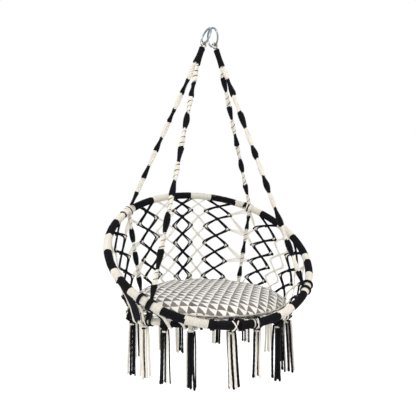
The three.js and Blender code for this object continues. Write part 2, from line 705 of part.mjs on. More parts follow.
// Cushion: flat underneath, drawn in to a puckered seam that rises to the back, with a full crown
function addCushion() {
  const radius = CUSHION_DIAMETER / 2;
  const rest = SEAT_NET_THICKNESS / 2 + CLEARANCE;
  const flat = radius - CUSHION_FLAT_INSET_WIDTH;
  const seam = rest + CUSHION_SEAM_HEIGHT;
  const crown = seam + CUSHION_CROWN_RISE_HEIGHT;
  const slope = Math.tan((CUSHION_TILT * Math.PI) / 180);
  const underShares = [[0.45, 0.3], [0.75, 0.62], [0.93, 0.9]];
  const crownShares = [[0.985, 0.14], [0.93, 0.38], [0.84, 0.6], [0.7, 0.78], [0.5, 0.91], [0.27, 0.98]];
  const profile = [new THREE.Vector2(0, rest), new THREE.Vector2(flat, rest)];
  underShares.forEach(([out, up]) => {
    profile.push(new THREE.Vector2(flat + out * (radius - flat), rest + up * (seam - rest)));
  });
  profile.push(new THREE.Vector2(radius, seam));
  crownShares.forEach(([out, up]) => {
    profile.push(new THREE.Vector2(out * radius, seam + up * (crown - seam)));
  });
  profile.push(new THREE.Vector2(0, crown));
  const geometry = new THREE.LatheGeometry(profile, RING_STEPS);
  const position = geometry.attributes.position;
  const stepAngle = FULL_TURN / RING_STEPS;
  for (let i = 0; i < position.count; i++) {
    const x = position.getX(i);
    const y = position.getY(i);
    const z = position.getZ(i);
    const out = Math.hypot(x, z);
    const nearSeam = Math.exp(-(((y - seam) / (crown - seam)) ** 2) * 8) * (out > flat ? 1 : 0);
    const odd = Math.abs(Math.round(Math.atan2(z, x) / stepAngle)) % 2;
    const scale = out > 0 ? 1 - (odd * nearSeam * CUSHION_PUCKER_DEPTH) / out : 1;
    const share = Math.min((y - rest) / (seam - rest), 1);
    position.setXYZ(i, x * scale, y - share * slope * z * scale, z * scale);
  }
  geometry.rotateX(Math.PI / 2);
  const middle = SEAT_CENTRE.clone();
  middle.x += CUSHION_SIDE_SHIFT;
  middle.y -= CUSHION_FORWARD_SHIFT;
  geometry.translate(...middle.toArray());
  addPiece("cushion", geometry, PRINT);
}

// Tassels: a loop round the seat ring, a knot under it and splayed strands
function addTassels() {
  TASSEL_ANGLES.forEach((degrees, i) => {
    const centre = seatPoint(degrees);
    const axis = seatTangent(degrees);
    const outward = centre.clone().sub(SEAT_CENTRE).normalize();
    const bore = SEAT_WRAP_DIAMETER / 2 + LOOP_CLEARANCE;
    const outline = polygon(bore + TASSEL_LOOP_THICKNESS, TASSEL_LOOP_SIDES);
    const loopBore = polygonRound(bore, TASSEL_LOOP_SIDES);
    const loop = collar(centre, axis, outline, loopBore, TASSEL_LOOP_WIDTH);
    const knotTop = bore + TASSEL_LOOP_THICKNESS / 2;
    const knot = new THREE.CylinderGeometry(
      TASSEL_KNOT_DIAMETER / 2,
      TASSEL_KNOT_DIAMETER / 2 - TASSEL_LOOP_THICKNESS / 3,
      TASSEL_KNOT_LENGTH,
      6,
    );
    knot.rotateX(Math.PI / 2);
    knot.translate(centre.x, centre.y, centre.z - knotTop - TASSEL_KNOT_LENGTH / 2);
    const parts = [loop, knot];
    const strandTop = centre.z - knotTop - TASSEL_KNOT_LENGTH + JOIN_OVERLAP_LENGTH;
    const strandEnd = centre.z - TASSEL_LENGTH;
    for (let k = 0; k < TASSEL_STRANDS; k++) {
      const a = (FULL_TURN * k) / TASSEL_STRANDS;
      const away = axis.clone().multiplyScalar(Math.cos(a)).addScaledVector(outward, Math.sin(a));
      const inner = (TASSEL_KNOT_DIAMETER - TASSEL_STRAND_DIAMETER) / 2 - JOIN_OVERLAP_LENGTH;
      const from = new THREE.Vector3(centre.x, centre.y, strandTop).addScaledVector(away, inner);
      const to = new THREE.Vector3(centre.x, centre.y, strandEnd);
      to.addScaledVector(away, TASSEL_SPREAD_RADIUS);
      parts.push(loft([from, to], [TASSEL_STRAND_DIAMETER / 2, TASSEL_STRAND_DIAMETER / 2], 4));
    }
    addPiece(`tassel_${i + 1}`, joined(parts), i % 2 ? CREAM : BLACK);
  });
}

addHangRing("hang_ring_left", -1);
addHangRing("hang_ring_right", 1);
addEye("rope_eye_left", -1);
addEye("rope_eye_right", 1);
addWhipping("eye_whipping_left", -1);
addWhipping("eye_whipping_right", 1);
addRings();
addNetAndRopes();
addSeatNet();
addLashings();
addCushion();
addTassels();

export default chair;
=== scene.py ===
import math

import bmesh
import bpy
import numpy as np
from mathutils import Matrix, Vector


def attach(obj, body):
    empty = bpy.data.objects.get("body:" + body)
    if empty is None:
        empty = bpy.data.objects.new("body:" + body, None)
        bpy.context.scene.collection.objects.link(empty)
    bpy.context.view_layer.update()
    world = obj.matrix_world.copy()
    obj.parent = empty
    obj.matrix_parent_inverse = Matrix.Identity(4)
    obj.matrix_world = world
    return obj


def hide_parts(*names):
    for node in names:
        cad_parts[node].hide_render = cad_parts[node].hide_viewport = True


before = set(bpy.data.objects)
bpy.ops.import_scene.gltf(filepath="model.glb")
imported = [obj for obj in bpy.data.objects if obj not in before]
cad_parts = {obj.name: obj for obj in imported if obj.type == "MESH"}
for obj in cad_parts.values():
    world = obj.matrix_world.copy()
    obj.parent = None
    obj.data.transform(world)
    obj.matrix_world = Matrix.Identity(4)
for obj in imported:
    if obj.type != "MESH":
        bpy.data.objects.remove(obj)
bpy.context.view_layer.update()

scene = bpy.context.scene
MM = 0.001
TURN = 2 * math.pi

# Places shared with the solids, in metres
SEAT_CENTRE = np.array([0.0, 0.02, -1.083])
SEAT_RADIUS = 0.313
SEAT_WRAP = 0.014
HOOP_RADIUS = 0.3925
HOOP_WRAP = 0.015
HOOP_TILT = math.asin(0.5 / 0.785)
HOOP_FRONT = SEAT_CENTRE + (0.0, -SEAT_RADIUS - 0.037, 0.001)
TIE_START = 5.5
TIE_STEP = 15.0
FIRST_KNOT_DEPTH = 0.021
ROW_HEIGHT = 0.075
SHORT_ROW_HEIGHT = 0.057
SHORT_ROW_COLUMNS = (72.5, 86.4, 97.8)
BACK_ROPES = {"left": 140.5, "right": 50.5}
FRONT_ROPES = {"left": 227.6, "right": 322.0}
FRONT_FEET = {"left": 213.5, "right": 325.9}
LASHINGS = (257.2, 273.3, 281.0)


def adjust(thing, **values):
    """Sets several values of one thing."""
    for key, value in values.items():
        setattr(thing, key, value)


def added(name, data):
    obj = bpy.data.objects.new(name, data)
    scene.collection.objects.link(obj)
    return obj


# Camera at the photograph's viewing angle
CAMERA_TURN = math.radians(-15.13)
VIEW = np.array([0.26019463, 0.9623205, -0.07898107])
RIGHT = np.array([math.cos(CAMERA_TURN), math.sin(CAMERA_TURN), 0.0])
camera = added("camera", bpy.data.cameras.new("camera"))
adjust(camera, location=(-0.41163, -1.51539, -0.85805), rotation_mode="QUATERNION")
camera.rotation_quaternion = Vector(VIEW).to_track_quat("-Z", "Y")
adjust(camera.data, sensor_width=36, lens=34, shift_x=-0.00204, shift_y=0.1897, clip_start=0.05, clip_end=60)
scene.camera = camera


# Shader maths
def maths(operation, reflected=False):
    """A method of a Term that adds one Math node."""

    def method(self, *others):
        values = (*others, self) if reflected else (self, *others)
        return self.finish.node("ShaderNodeMath", dict(enumerate(values)), operation=operation)

    return method


class Term:
    """A socket that can be used as a number in an expression."""

    def __init__(self, finish, socket):
        self.finish = finish
        self.socket = socket

    __add__, __radd__ = maths("ADD"), maths("ADD", True)
    __sub__, __rsub__ = maths("SUBTRACT"), maths("SUBTRACT", True)
    __mul__, __rmul__ = maths("MULTIPLY"), maths("MULTIPLY", True)
    __truediv__ = maths("DIVIDE")
    __gt__, __lt__ = maths("GREATER_THAN"), maths("LESS_THAN")
    wave, size = maths("SINE"), maths("ABSOLUTE")
    whole, part = maths("FLOOR"), maths("FRACT")
    highest, lowest = maths("MAXIMUM"), maths("MINIMUM")


class Finish:
    """The node tree of one material or of the world."""

    def __init__(self, owner):
        owner.use_nodes = True
        self.owner = owner
        self.tree = owner.node_tree
        self.tree.nodes.clear()

    def node(self, kind, values=None, output=0, **settings):
        """Adds a node: its settings first, then the values or links of its sockets."""
        made = self.tree.nodes.new(kind)
        adjust(made, **settings)
        for key, value in (values or {}).items():
            if isinstance(value, Term):
                self.tree.links.new(value.socket, made.inputs[key])
            else:
                made.inputs[key].default_value = value
        return Term(self, made.outputs[output]) if len(made.outputs) else made

    def split(self, vector):
        return [self.node("ShaderNodeSeparateXYZ", {0: vector}, axis) for axis in range(3)]

    def blend(self, share, first, second):
        return self.node("ShaderNodeMix", {0: share, 6: first, 7: second}, 2, data_type="RGBA")

    def noise(self, scale, detail=2.0, roughness=0.5):
        """Noise on Object coordinates."""
        place = self.node("ShaderNodeTexCoord", None, 3)
        values = {"Vector": place, "Scale": scale, "Detail": detail, "Roughness": roughness}
        return self.node("ShaderNodeTexNoise", values)

    def along(self):
        """The piece's own layout: round and along a cord, or over the cushion's cloth."""
        return self.node("ShaderNodeUVMap", uv_map="lay")

    def plies(self, count, lay):
        """Waves where a cord's plies lie side by side."""
        around, length, _ = self.split(self.along())
        return ((around * count + length / lay) * math.pi).wave().size()

    def bump(self, height, distance, strength):
        return self.node("ShaderNodeBump", {"Height": height, "Distance": distance, "Strength": strength})

    def surface(self, values):
        shader = self.node("ShaderNodeBsdfPrincipled", values)
        self.node("ShaderNodeOutputMaterial", {"Surface": shader})
        return self.owner


def linear(red, green, blue):
    """A colour given as it shows on a screen, 0 to 255, as light."""
    shares = [c / 255 for c in (red, green, blue)]
    return tuple(c / 12.92 if c <= 0.04045 else ((c + 0.055) / 1.055) ** 2.4 for c in shares) + (1.0,)


CORD_LAY = 0.0065
SEAM_LAY = 0.004
PRINT_SQUARE = 0.0325
PRINT_TURN = math.radians(-25)
THREAD = 0.0011


def cord_finish(name, light, dark, sheen, tint):
    """Twisted cotton cord: three plies laid round each other, fine fibres and uneven dye, with painted shade in the
    grooves between the plies.
    """
    f = Finish(bpy.data.materials.new(name))
    plies = f.plies(3, CORD_LAY)
    fibres = f.noise(900.0, 2.0, 0.7)
    patches = f.noise(35.0, 3.0, 0.6)
    # Painted shade: the grooves between the plies take the dark colour, mixed with fibres and patches of uneven dye.
    ply_shade_and_dye = (plies * 0.55 + fibres * 0.35 + patches * 0.55 - 0.15).highest(0.0).lowest(1.0)
    return f.surface({
        "Base Color": f.blend(ply_shade_and_dye, dark, light), "Roughness": 0.93 - plies * 0.08, "Specular IOR Level": 0.15,
        "Sheen Weight": sheen, "Sheen Roughness": 0.55, "Sheen Tint": tint,
        "Normal": f.bump(plies * 0.8 + fibres * 0.25, 0.001, 0.9),
    })


def steel_finish():
    """Bright welded ring with cloudy patches and small scuffs."""
    f = Finish(bpy.data.materials.new("ring_steel"))
    scuffs = f.noise(260.0, 4.0, 0.65)
    cloud = f.noise(40.0, 2.0, 0.5)
    return f.surface({
        "Base Color": f.blend(cloud, linear(120, 130, 136), linear(172, 180, 184)), "Metallic": 1.0,
        "Roughness": 0.16 + scuffs * 0.22, "Normal": f.bump(scuffs, 0.0002, 0.4),
    })


def painted_tube_finish():
    """Dark powder coat on the bent tubes inside the windings."""
    f = Finish(bpy.data.materials.new("tube_paint"))
    grain = f.noise(700.0, 2.0, 0.6)
    return f.surface({
        "Base Color": f.blend(grain, linear(28, 28, 30), linear(52, 52, 54)),
        "Roughness": 0.45 + grain * 0.2, "Normal": f.bump(grain, 0.0003, 0.5),
    })


def print_finish():
    """Woven cotton printed with half-square triangles in shades of grey on white."""
    f = Finish(bpy.data.materials.new("cushion_print"))
    turn = {"Vector": f.along(), "Rotation": (0, 0, PRINT_TURN)}
    across, up, _ = f.split(f.node("ShaderNodeMapping", turn, vector_type="TEXTURE"))
    column = across / PRINT_SQUARE
    row = up / PRINT_SQUARE
    wobble = (f.noise(90.0, 2.0, 0.5) - 0.5) * 0.22
    inside = ((column.part() + row.part() + wobble) < 1.08) * (column.part() > 0.03) * (row.part() > 0.04)
    cell = f.node("ShaderNodeCombineXYZ", {0: column.whole(), 1: row.whole(), 2: 0.0})
    chance = f.node("ShaderNodeTexWhiteNoise", {"Vector": cell}, noise_dimensions="2D")
    grey = f.blend(chance, linear(96, 90, 83), linear(138, 130, 121))
    threads = ((across * (TURN / THREAD)).wave() * (up * (TURN / THREAD)).wave()).size()
    ground = f.blend(threads, linear(232, 229, 224), linear(248, 246, 242))
    slub = f.noise(420.0, 2.0, 0.6)
    return f.surface({
        "Base Color": f.blend(inside, ground, grey), "Roughness": 0.86 + slub * 0.1, "Specular IOR Level": 0.2,
        "Sheen Weight": 0.2, "Sheen Roughness": 0.5, "Normal": f.bump(threads * 0.5 + slub * 0.6, 0.0004, 0.7),
    })


def piping_finish():
    """Pale grey seam cord of the cushion, with painted shade in the grooves between its two plies."""
    f = Finish(bpy.data.materials.new("seam_cord"))
    plies = f.plies(2, SEAM_LAY)
    # Painted shade: the darker grey lies in the grooves between the plies.
    colour = f.blend(plies, linear(160, 154, 142), linear(222, 217, 207))
    return f.surface({"Base Color": colour, "Roughness": 0.9 - plies * 0.05, "Normal": f.bump(plies, 0.0004, 0.7)})


# Each cord's second colour is its darker tone, used as painted shade in the ply grooves and as uneven dye in patches.
CREAM = cord_finish("cream_cord", linear(253, 249, 240), linear(216, 206, 185), 0.25, (1.0, 0.97, 0.9, 1.0))
BLACK = cord_finish("black_cord", linear(17, 17, 21), linear(6, 6, 8), 0.04, (0.55, 0.55, 0.6, 1.0))
STEEL = steel_finish()
PAINT = painted_tube_finish()
PRINT = print_finish()
PIPING = piping_finish()
CORDS = {"cream": (CREAM, "cord_cream"), "black": (BLACK, "cord_black")}
# Colours in the tables
COLOURS = {"c": "cream", "b": "black"}


# Geometry in numbers
def unit(v):
    return v / np.linalg.norm(v, axis=-1, keepdims=True)


def circle(a, x, y):
    return np.cos(a)[:, None] * x + np.sin(a)[:, None] * y


def level(a, radius, height=0.0):
    """Places round the upright axis."""
    return np.stack([radius * np.cos(a), radius * np.sin(a), height + 0 * a], -1)


def seat_point(degrees):
    return SEAT_CENTRE + level(np.radians(degrees), SEAT_RADIUS)


def seat_tangent(degrees):
    a = np.radians(degrees)
    return np.stack([-np.sin(a), np.cos(a), 0 * a], -1)


def seat_out(degrees):
    return unit(seat_point(degrees) - SEAT_CENTRE)


HOOP_LEAN = np.array([0.0, math.cos(HOOP_TILT), math.sin(HOOP_TILT)])
HOOP_NORMAL = np.array([0.0, -math.sin(HOOP_TILT), math.cos(HOOP_TILT)])
HOOP_CENTRE = HOOP_FRONT + HOOP_RADIUS * HOOP_LEAN
ACROSS = np.array([1.0, 0.0, 0.0])
LEVEL = np.array([0.0, 1.0, 0.0])
UP = np.array([0.0, 0.0, 1.0])


def hoop_out(degrees):
    a = np.radians(degrees)[..., None]
    return np.cos(a) * ACROSS + np.sin(a) * HOOP_LEAN


def hoop_point(degrees):
    return HOOP_CENTRE + HOOP_RADIUS * hoop_out(degrees)


def hoop_tangent(degrees):
    return hoop_out(degrees + 90)


def net_ends(degrees):
    """Where the net leaves the hoop's winding and meets the seat ring's."""
    top, foot = hoop_point(degrees), seat_point(degrees)
    down = unit(foot - top)
    lean_top = np.sum(down * hoop_tangent(degrees), -1, keepdims=True)
    lean_foot = np.sum(down * seat_tangent(degrees), -1, keepdims=True)
    top = top + down * HOOP_WRAP / np.sqrt(1 - lean_top**2)
    foot = foot - down * SEAT_WRAP / np.sqrt(1 - lean_foot**2)
    return top, foot


def net_length(degrees):
    top, foot = net_ends(degrees)
    return np.linalg.norm(foot - top)


def net_surface(degrees, share, lift=0.0):
    """Points of the net, share 0 at the hoop to 1 at the ring, lifted outwards from its surface."""
    top, foot = net_ends(degrees)
    share = share[..., None]
    before, after = net_ends(degrees - 2), net_ends(degrees + 2)
    round_it = (after[0] - before[0]) * (1 - share) + (after[1] - before[1]) * share
    outward = unit(np.cross(round_it, foot - top))
    return top + (foot - top) * share + outward * np.asarray(lift)[..., None]


def loops(centre, axis, radius, turns, spread, start=0.0):
    """Turns of cord round a tube, side by side along its axis."""
    x = unit(np.cross(axis, UP if abs(axis[2]) < 0.8 else ACROSS))
    y = np.cross(axis, x)
    t = np.linspace(0, turns, int(turns * 18) + 1)
    a = TURN * t + start
    place = (t - turns / 2) * spread
    return centre + np.outer(place, axis) + radius * circle(a, x, y)


def wrapped(centre, axis, radius, cord, turns, spread):
    """A run of a few turns, as a wrapped knot."""
    return loops(centre, axis, radius, turns, spread), cord


def closed_loop(centre, axis, radius, cord, start=0.0):
    """A run of one turn that closes on itself."""
    return loops(centre, axis, radius, 1.0, 0.0, start)[:-1], cord, True


def belt(far, near, far_radius, near_radius, towards, side, count):
    """Points of a loop round two tubes that lie side by side."""
    points = []
    for i in range(count):
        a = TURN * i / count
        middle, radius = (far, far_radius) if math.cos(a) > 0 else (near, near_radius)
        points.append(middle + radius * (math.cos(a) * towards + math.sin(a) * side))
    return np.array(points)


def lengths_along(points):
    return np.r_[0, np.cumsum(np.linalg.norm(np.diff(points, axis=0), axis=1))]


def smooth_path(points, count):
    """A curve through the points, evenly spaced."""
    points = np.asarray(points, float)
    padded = np.vstack([2 * points[0] - points[1], points, 2 * points[-1] - points[-2]])
    out = []
    for i in range(len(points) - 1):
        p0, p1, p2, p3 = padded[i : i + 4]
        t = np.linspace(0, 1, 12, endpoint=False)[:, None]
        cubic = (2 * p1 + (p2 - p0) * t + (2 * p0 - 5 * p1 + 4 * p2 - p3) * t**2
                 + (3 * p1 - p0 - 3 * p2 + p3) * t**3)
        out.append(0.5 * cubic)
    line = np.vstack(out + [points[-1:]])
    lengths = lengths_along(line)
    even = np.linspace(0, lengths[-1], count)
    return np.stack([np.interp(even, lengths, line[:, k]) for k in range(3)], -1)


# Pieces
def keep(obj, body, node=None):
    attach(obj, body)
    if node:
        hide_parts(node)
    return obj


def coat(mesh, material):
    mesh.materials.clear()
    mesh.materials.append(material)


def piece(name, mesh, material):
    mesh.name = name
    coat(mesh, material)
    return added(name, mesh)


def finished(bm, name, merge=0.0, smooth=False):
    """The bmesh as a mesh, with doubles merged and faces turned outwards where merge is given."""
    if merge:
        bmesh.ops.remove_doubles(bm, verts=bm.verts, dist=merge)
        bmesh.ops.recalc_face_normals(bm, faces=bm.faces)
    for face in bm.faces:
        face.smooth = smooth
    mesh = bpy.data.meshes.new(name)
    bm.to_mesh(mesh)
    bm.free()
    return mesh


def flat(values):
    return np.asarray(values, np.float32).ravel()


def corners_of(mesh):
    """The vertex at each corner of the faces."""
    corners = np.zeros(len(mesh.loops), np.int32)
    mesh.loops.foreach_get("vertex_index", corners)
    return corners


def lay_out(mesh, places):
    """Gives each corner its place in the layout that the finishes read."""
    mesh.uv_layers.new(name="lay").uv.foreach_set("vector", flat(places))


def cord_mesh(runs, sides):
    """Round cords along runs of points, each with its radius and whether it closes on itself."""
    curve = bpy.data.curves.new("cords", "CURVE")
    adjust(curve, dimensions="3D", bevel_depth=MM, bevel_resolution=sides // 2 - 2, use_fill_caps=False)
    corners = []
    for k, (points, radius, closed) in enumerate(runs):
        count = len(points)
        spline = curve.splines.new("POLY")
        spline.points.add(count - 1)
        spline.points.foreach_set("co", flat(np.c_[points, np.ones(count)]))
        spline.points.foreach_set("radius", flat(np.broadcast_to(radius, count) / MM))
        spline.use_cyclic_u = closed
        side, length = np.tile(np.arange(sides), count), np.repeat(lengths_along(points), sides)
        total = length[-1] + np.linalg.norm(points[-1] - points[0])
        corners.append([side, length, np.full(len(side), total), np.full(len(side), k)])
    holder = bpy.data.objects.new("cords", curve)
    mesh = bpy.data.meshes.new_from_object(holder)
    bpy.data.objects.remove(holder)
    bpy.data.curves.remove(curve)
    side, lengths, whole, ring = np.concatenate(corners, 1)
    if len(side) != len(mesh.vertices):
        raise ValueError("a cord has an unexpected number of corners")
    quads = corners_of(mesh).reshape(-1, 4)
    around = side[quads]
    around[(around.max(1) - around.min(1) > 1)[:, None] & (around == 0)] = sides
    along = lengths[quads]
    wraps = (along.max(1) - along.min(1) > 0.5 * whole[quads[:, 0]]) & (along.max(1) > 0.004)
    along = np.where(wraps[:, None] & (along == 0), whole[quads], along)
    while mesh.uv_layers:
        mesh.uv_layers.remove(mesh.uv_layers[0])
    lay_out(mesh, np.stack([around / sides, along + 0.37 * ring[quads]], -1))
    bm = bmesh.new()
    bm.from_mesh(mesh)
    bmesh.ops.holes_fill(bm, edges=[e for e in bm.edges if e.is_boundary], sides=sides)
    bmesh.ops.recalc_face_normals(bm, faces=bm.faces)
    for face in bm.faces:
        face.smooth = len(face.verts) == 4
    bm.to_mesh(mesh)
    bm.free()
    return mesh


def cords(name, colour, runs, body="chair", node=None, sides=6):
    """One piece of cord work in one colour. A run is its points, its radius and, if it closes, True."""
    full = [(np.asarray(r[0], float), r[1], len(r) > 2 and r[2]) for r in runs]
    material, slot = CORDS[colour]
    return keep(piece(name, cord_mesh(full, sides), material), body, node)


def no_runs():
    return {"cream": [], "black": []}


def two_colours(name, runs, body="chair", node=None, main="cream", sides=6):
    """Cord work in both colours. The main one stands for the CAD's node."""
    for colour in ("cream", "black"):
        cords(f"{name}_{colour}", colour, runs[colour], body, node if colour == main else None, sides)


rng = np.random.default_rng(11)

# Hanging rings: round wire, spun into a ring
RING_LEAN = math.radians(17)
RING_TWIST = math.radians(20)
WHIPPING_LEAN = math.radians(21)
RING_RADIUS = 0.0305
WIRE_RADIUS = 0.0035
WHIPPING_DROP = 0.0165
WHIPPING_LENGTH = 0.063
WHIPPING_CORD = 0.00168
WHIPPING_FLARE = {"left": 0.0042, "right": 0.0016}
EYE_SADDLE = 0.0089
EYE_LEG = 0.0048
EYE_CORD = 0.0022


def ring_frame(side):
    down = np.array([side * math.sin(RING_LEAN), 0.0, -math.cos(RING_LEAN)])
    face = np.array([-math.sin(RING_TWIST), math.cos(RING_TWIST), 0.0])
    face = unit(face - np.dot(face, down) * down)
    top = np.array([side * 0.0042, 0.0, WIRE_RADIUS])
    return down, face, top + down * RING_RADIUS, top + down * 2 * RING_RADIUS


def hanging_ring(side, word):
    down, face, centre, _ = ring_frame(side)
    normal = np.cross(down, face)
    bm = bmesh.new()
    wire = bmesh.ops.create_circle(bm, segments=16, radius=WIRE_RADIUS)
    turn = Matrix((Vector(down), Vector(normal), Vector(face))).transposed().to_4x4()
    turn.translation = Vector(centre + down * RING_RADIUS)
    bmesh.ops.transform(bm, matrix=turn, verts=wire["verts"])
    whole = bm.verts[:] + bm.edges[:]
    bmesh.ops.spin(bm, geom=whole, cent=Vector(centre), axis=Vector(normal), angle=TURN, steps=72, use_merge=True)
    mesh = finished(bm, "ring", 1e-5, True)
    keep(piece(f"steel_ring_{word}", mesh, STEEL), "hang_rings", f"hang_ring_{word}")


hanging_ring(-1, "left")
hanging_ring(1, "right")


# Rope eyes and their whippings
def neck_frame(side):
    _, face, _, bottom = ring_frame(side)
    down = np.array([side * math.sin(WHIPPING_LEAN), 0.0, -math.cos(WHIPPING_LEAN)])
    across = unit(np.cross(face, down))
    across = -across if across[0] < 0 else across
    top = bottom + down * WHIPPING_DROP
    return bottom, down, across, top, top + down * WHIPPING_LENGTH


def rope_eye(side, word):
    """Three cords laid round each other, up through the ring and down again."""
    bottom, down, across, _, _ = neck_frame(side)
    outline = [bottom - across * EYE_LEG + down * drop for drop in (0.045, WHIPPING_DROP)]
    for i in range(9):
        a = math.pi * i / 8
        outline.append(bottom - across * EYE_SADDLE * math.cos(a) - down * EYE_SADDLE * math.sin(a))
    outline += [bottom + across * EYE_LEG + down * drop for drop in (WHIPPING_DROP, 0.045)]
    line = smooth_path(outline, 96)
    tangent = unit(np.gradient(line, axis=0))
    deep = np.cross(down, across)
    out = unit(np.cross(tangent, deep))
    a = np.linspace(0, TURN * 9, 96)
    strands = [line + 0.0021 * circle(a + TURN * k / 3, out, deep) for k in range(3)]
    cords(f"eye_cord_{word}", "cream", [(line, EYE_CORD) for line in strands[:2]], node=f"rope_eye_{word}")
    cords(f"eye_dark_cord_{word}", "black", [(strands[2], 0.002)])


def whipping(side, word):
    """Tight turns that flare a little where the two ropes part."""
    _, down, across, top, end = neck_frame(side)
    deep = np.cross(down, across)
    runs = []
    for radius, pitch, turned, low, high in ((0.0106, 0.0032, 0.0, 0.0, 1.0), (0.0088, 0.004, 1.5, 0.02, 0.85)):
        t = np.linspace(low, high, 340)
        a = TURN * t * WHIPPING_LENGTH / pitch + turned
        flare = WHIPPING_FLARE[word] * t**2 - 0.001 * np.sin(math.pi * t)
        wide = (radius + flare) * np.cos(a)
        thin = 0.86 * (radius - 0.0008 * np.sin(math.pi * t)) * np.sin(a)
        line = top + np.outer(t, end - top) + np.outer(wide, across) + np.outer(thin, deep)
        runs.append((line, WHIPPING_CORD))
    cords(f"whipping_{word}", "black", runs, node=f"eye_whipping_{word}")


for side, word in ((-1, "left"), (1, "right")):
    rope_eye(side, word)
    whipping(side, word)

# Windings of the hoop and the seat ring, in black and cream bands
WINDING_CORD = 0.0022
WINDING_PITCH = 0.0046
WINDING_SEAM = 271
HOOP_BLACK = [
    (120, 136), (92, 107.5), (61, 78), (26.5, 42), (354, 373), (337.5, 348.5), (304.6, 319), (281.4, 294),
    (256.4, 278.6), (233.8, 245.5), (205.2, 214.4), (182.7, 198.4), (154.8, 169),
]


def bands_round(black):
    """Black bands and the cream ones between them, from the seam round."""
    black = sorted(((a - WINDING_SEAM) % 360 + WINDING_SEAM, (b - a) % 360) for a, b in black)
    black = [(start, start + size) for start, size in black]
    after = black[1:] + [(black[0][0] + 360, 0)]
    return black, [(end, start) for (_, end), (start, _) in zip(black, after) if start > end]


def ring_winding(tube, start, end):
    """Points of a cord wound round part of a tube's ring, from one angle to another."""
    point, outward, normal, ring_radius, wrap_radius = tube
    count = int(abs(math.radians(end - start)) * ring_radius / WINDING_PITCH * 12)
    degrees = np.linspace(start, end, count)
    a = TURN * np.radians(degrees - WINDING_SEAM) * ring_radius / WINDING_PITCH
    marks = np.arange(0, count + 12, 12)
    slack = np.interp(np.arange(count), marks, rng.normal(0, 0.00012, count // 12 + 2)[: len(marks)])
    reach = (wrap_radius - WINDING_CORD + slack)[:, None]
    return point(degrees) + reach * circle(a, outward(degrees), normal)


def wound_ring(name, node, tube, black):
    for colour, bands in zip(("black", "cream"), bands_round(black)):
        runs = [(ring_winding(tube, start, end), WINDING_CORD) for start, end in bands]
        cords(f"{name}_{colour}", colour, runs, node=node)


HOOP_TUBE = (hoop_point, hoop_out, HOOP_NORMAL, HOOP_RADIUS, HOOP_WRAP)
wound_ring("hoop_winding", "hoop_wrap", HOOP_TUBE, HOOP_BLACK)
SEAT_BLACK = [
    (184, 209), (232, 244), (262, 276), (290, 304), (318, 332), (345, 359), (374, 388), (404, 418), (434, 448),
    (464, 478), (494, 508), (525, 539),
]
SEAT_TUBE = (seat_point, seat_out, UP, SEAT_RADIUS, SEAT_WRAP)
wound_ring("ring_winding", "seat_ring_wrap", SEAT_TUBE, SEAT_BLACK)
for name in ("hoop_tube", "seat_ring_tube"):
    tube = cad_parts[name]
    coat(tube.data, PAINT)


# Knotted ropes: two strands worked round a core into a flat band that turns along its length
STRAND = 0.003
KNOT_PITCH = 0.0125
BAND_WIDE = {"cream": 0.007, "black": 0.0096}
TAPER = {"cream": 0.72, "black": 0.86}
BAND_THIN = 0.0038
TAPER_LENGTH = 0.006
CORE_CORD = 0.002
SPECK_CORD = 0.0013


def knotted_band(start, end, sections, edges, specks):
    """Cord runs of one rope by colour. sections are (from, to, colour), edges where the band is seen edge on."""
    axis = unit(end - start)
    length = np.linalg.norm(end - start)
    seen = unit(np.cross(axis, VIEW))
    depth = np.cross(axis, seen)
    runs = no_runs()
    for low, high, colour in sections:
        t = np.linspace(low, high, max(int((high - low) * length / KNOT_PITCH * 14), 8))
        turn = np.interp(t, *zip(*edges))
        wide, thin = circle(turn, seen, depth), circle(turn, depth, -seen)
        middle = start + np.outer(t, end - start)
        ends = np.minimum(t - low, high - t) * length
        taper = (TAPER[colour] + (1 - TAPER[colour]) * np.clip(ends / TAPER_LENGTH, 0, 1))[:, None]
        phase = TURN * t * length / KNOT_PITCH
        for k in range(2):
            round_it = circle(phase + math.pi * k, BAND_WIDE[colour] * wide, BAND_THIN * thin)
            runs[colour].append((middle + taper * round_it, STRAND))
        for k in (-1, 1):
            core = middle + k * 0.0032 * taper * wide
            runs[colour].append((core[::7], CORE_CORD))
        if colour == "cream" and specks:
            round_it = circle(phase * 0.5 + 0.7, (BAND_WIDE[colour] + 0.0012) * wide, (BAND_THIN + 0.0022) * thin)
            runs["black"].append((middle + taper * round_it, SPECK_CORD))
    return runs


def edge_turns(places):
    """The band turns half round between two places where it is seen edge on."""
    places = list(places)
    gap = np.mean(np.diff(places))
    while places[0] > 0:
        places.insert(0, places[0] - gap)
    while places[-1] < 1:
        places.append(places[-1] + gap)
    return [(p, math.pi / 2 + math.pi * k) for k, p in enumerate(places)]


def alternate(black):
    """Sections from 0 to 1, with the given shares in black and cream between them."""
    out, at = [], 0.0
    for a, b in black:
        if a > at:
            out.append((at, a, "cream"))
        out.append((a, b, "black"))
        at = b
    if at < 1.0:
        out.append((at, 1.0, "cream"))
    return out


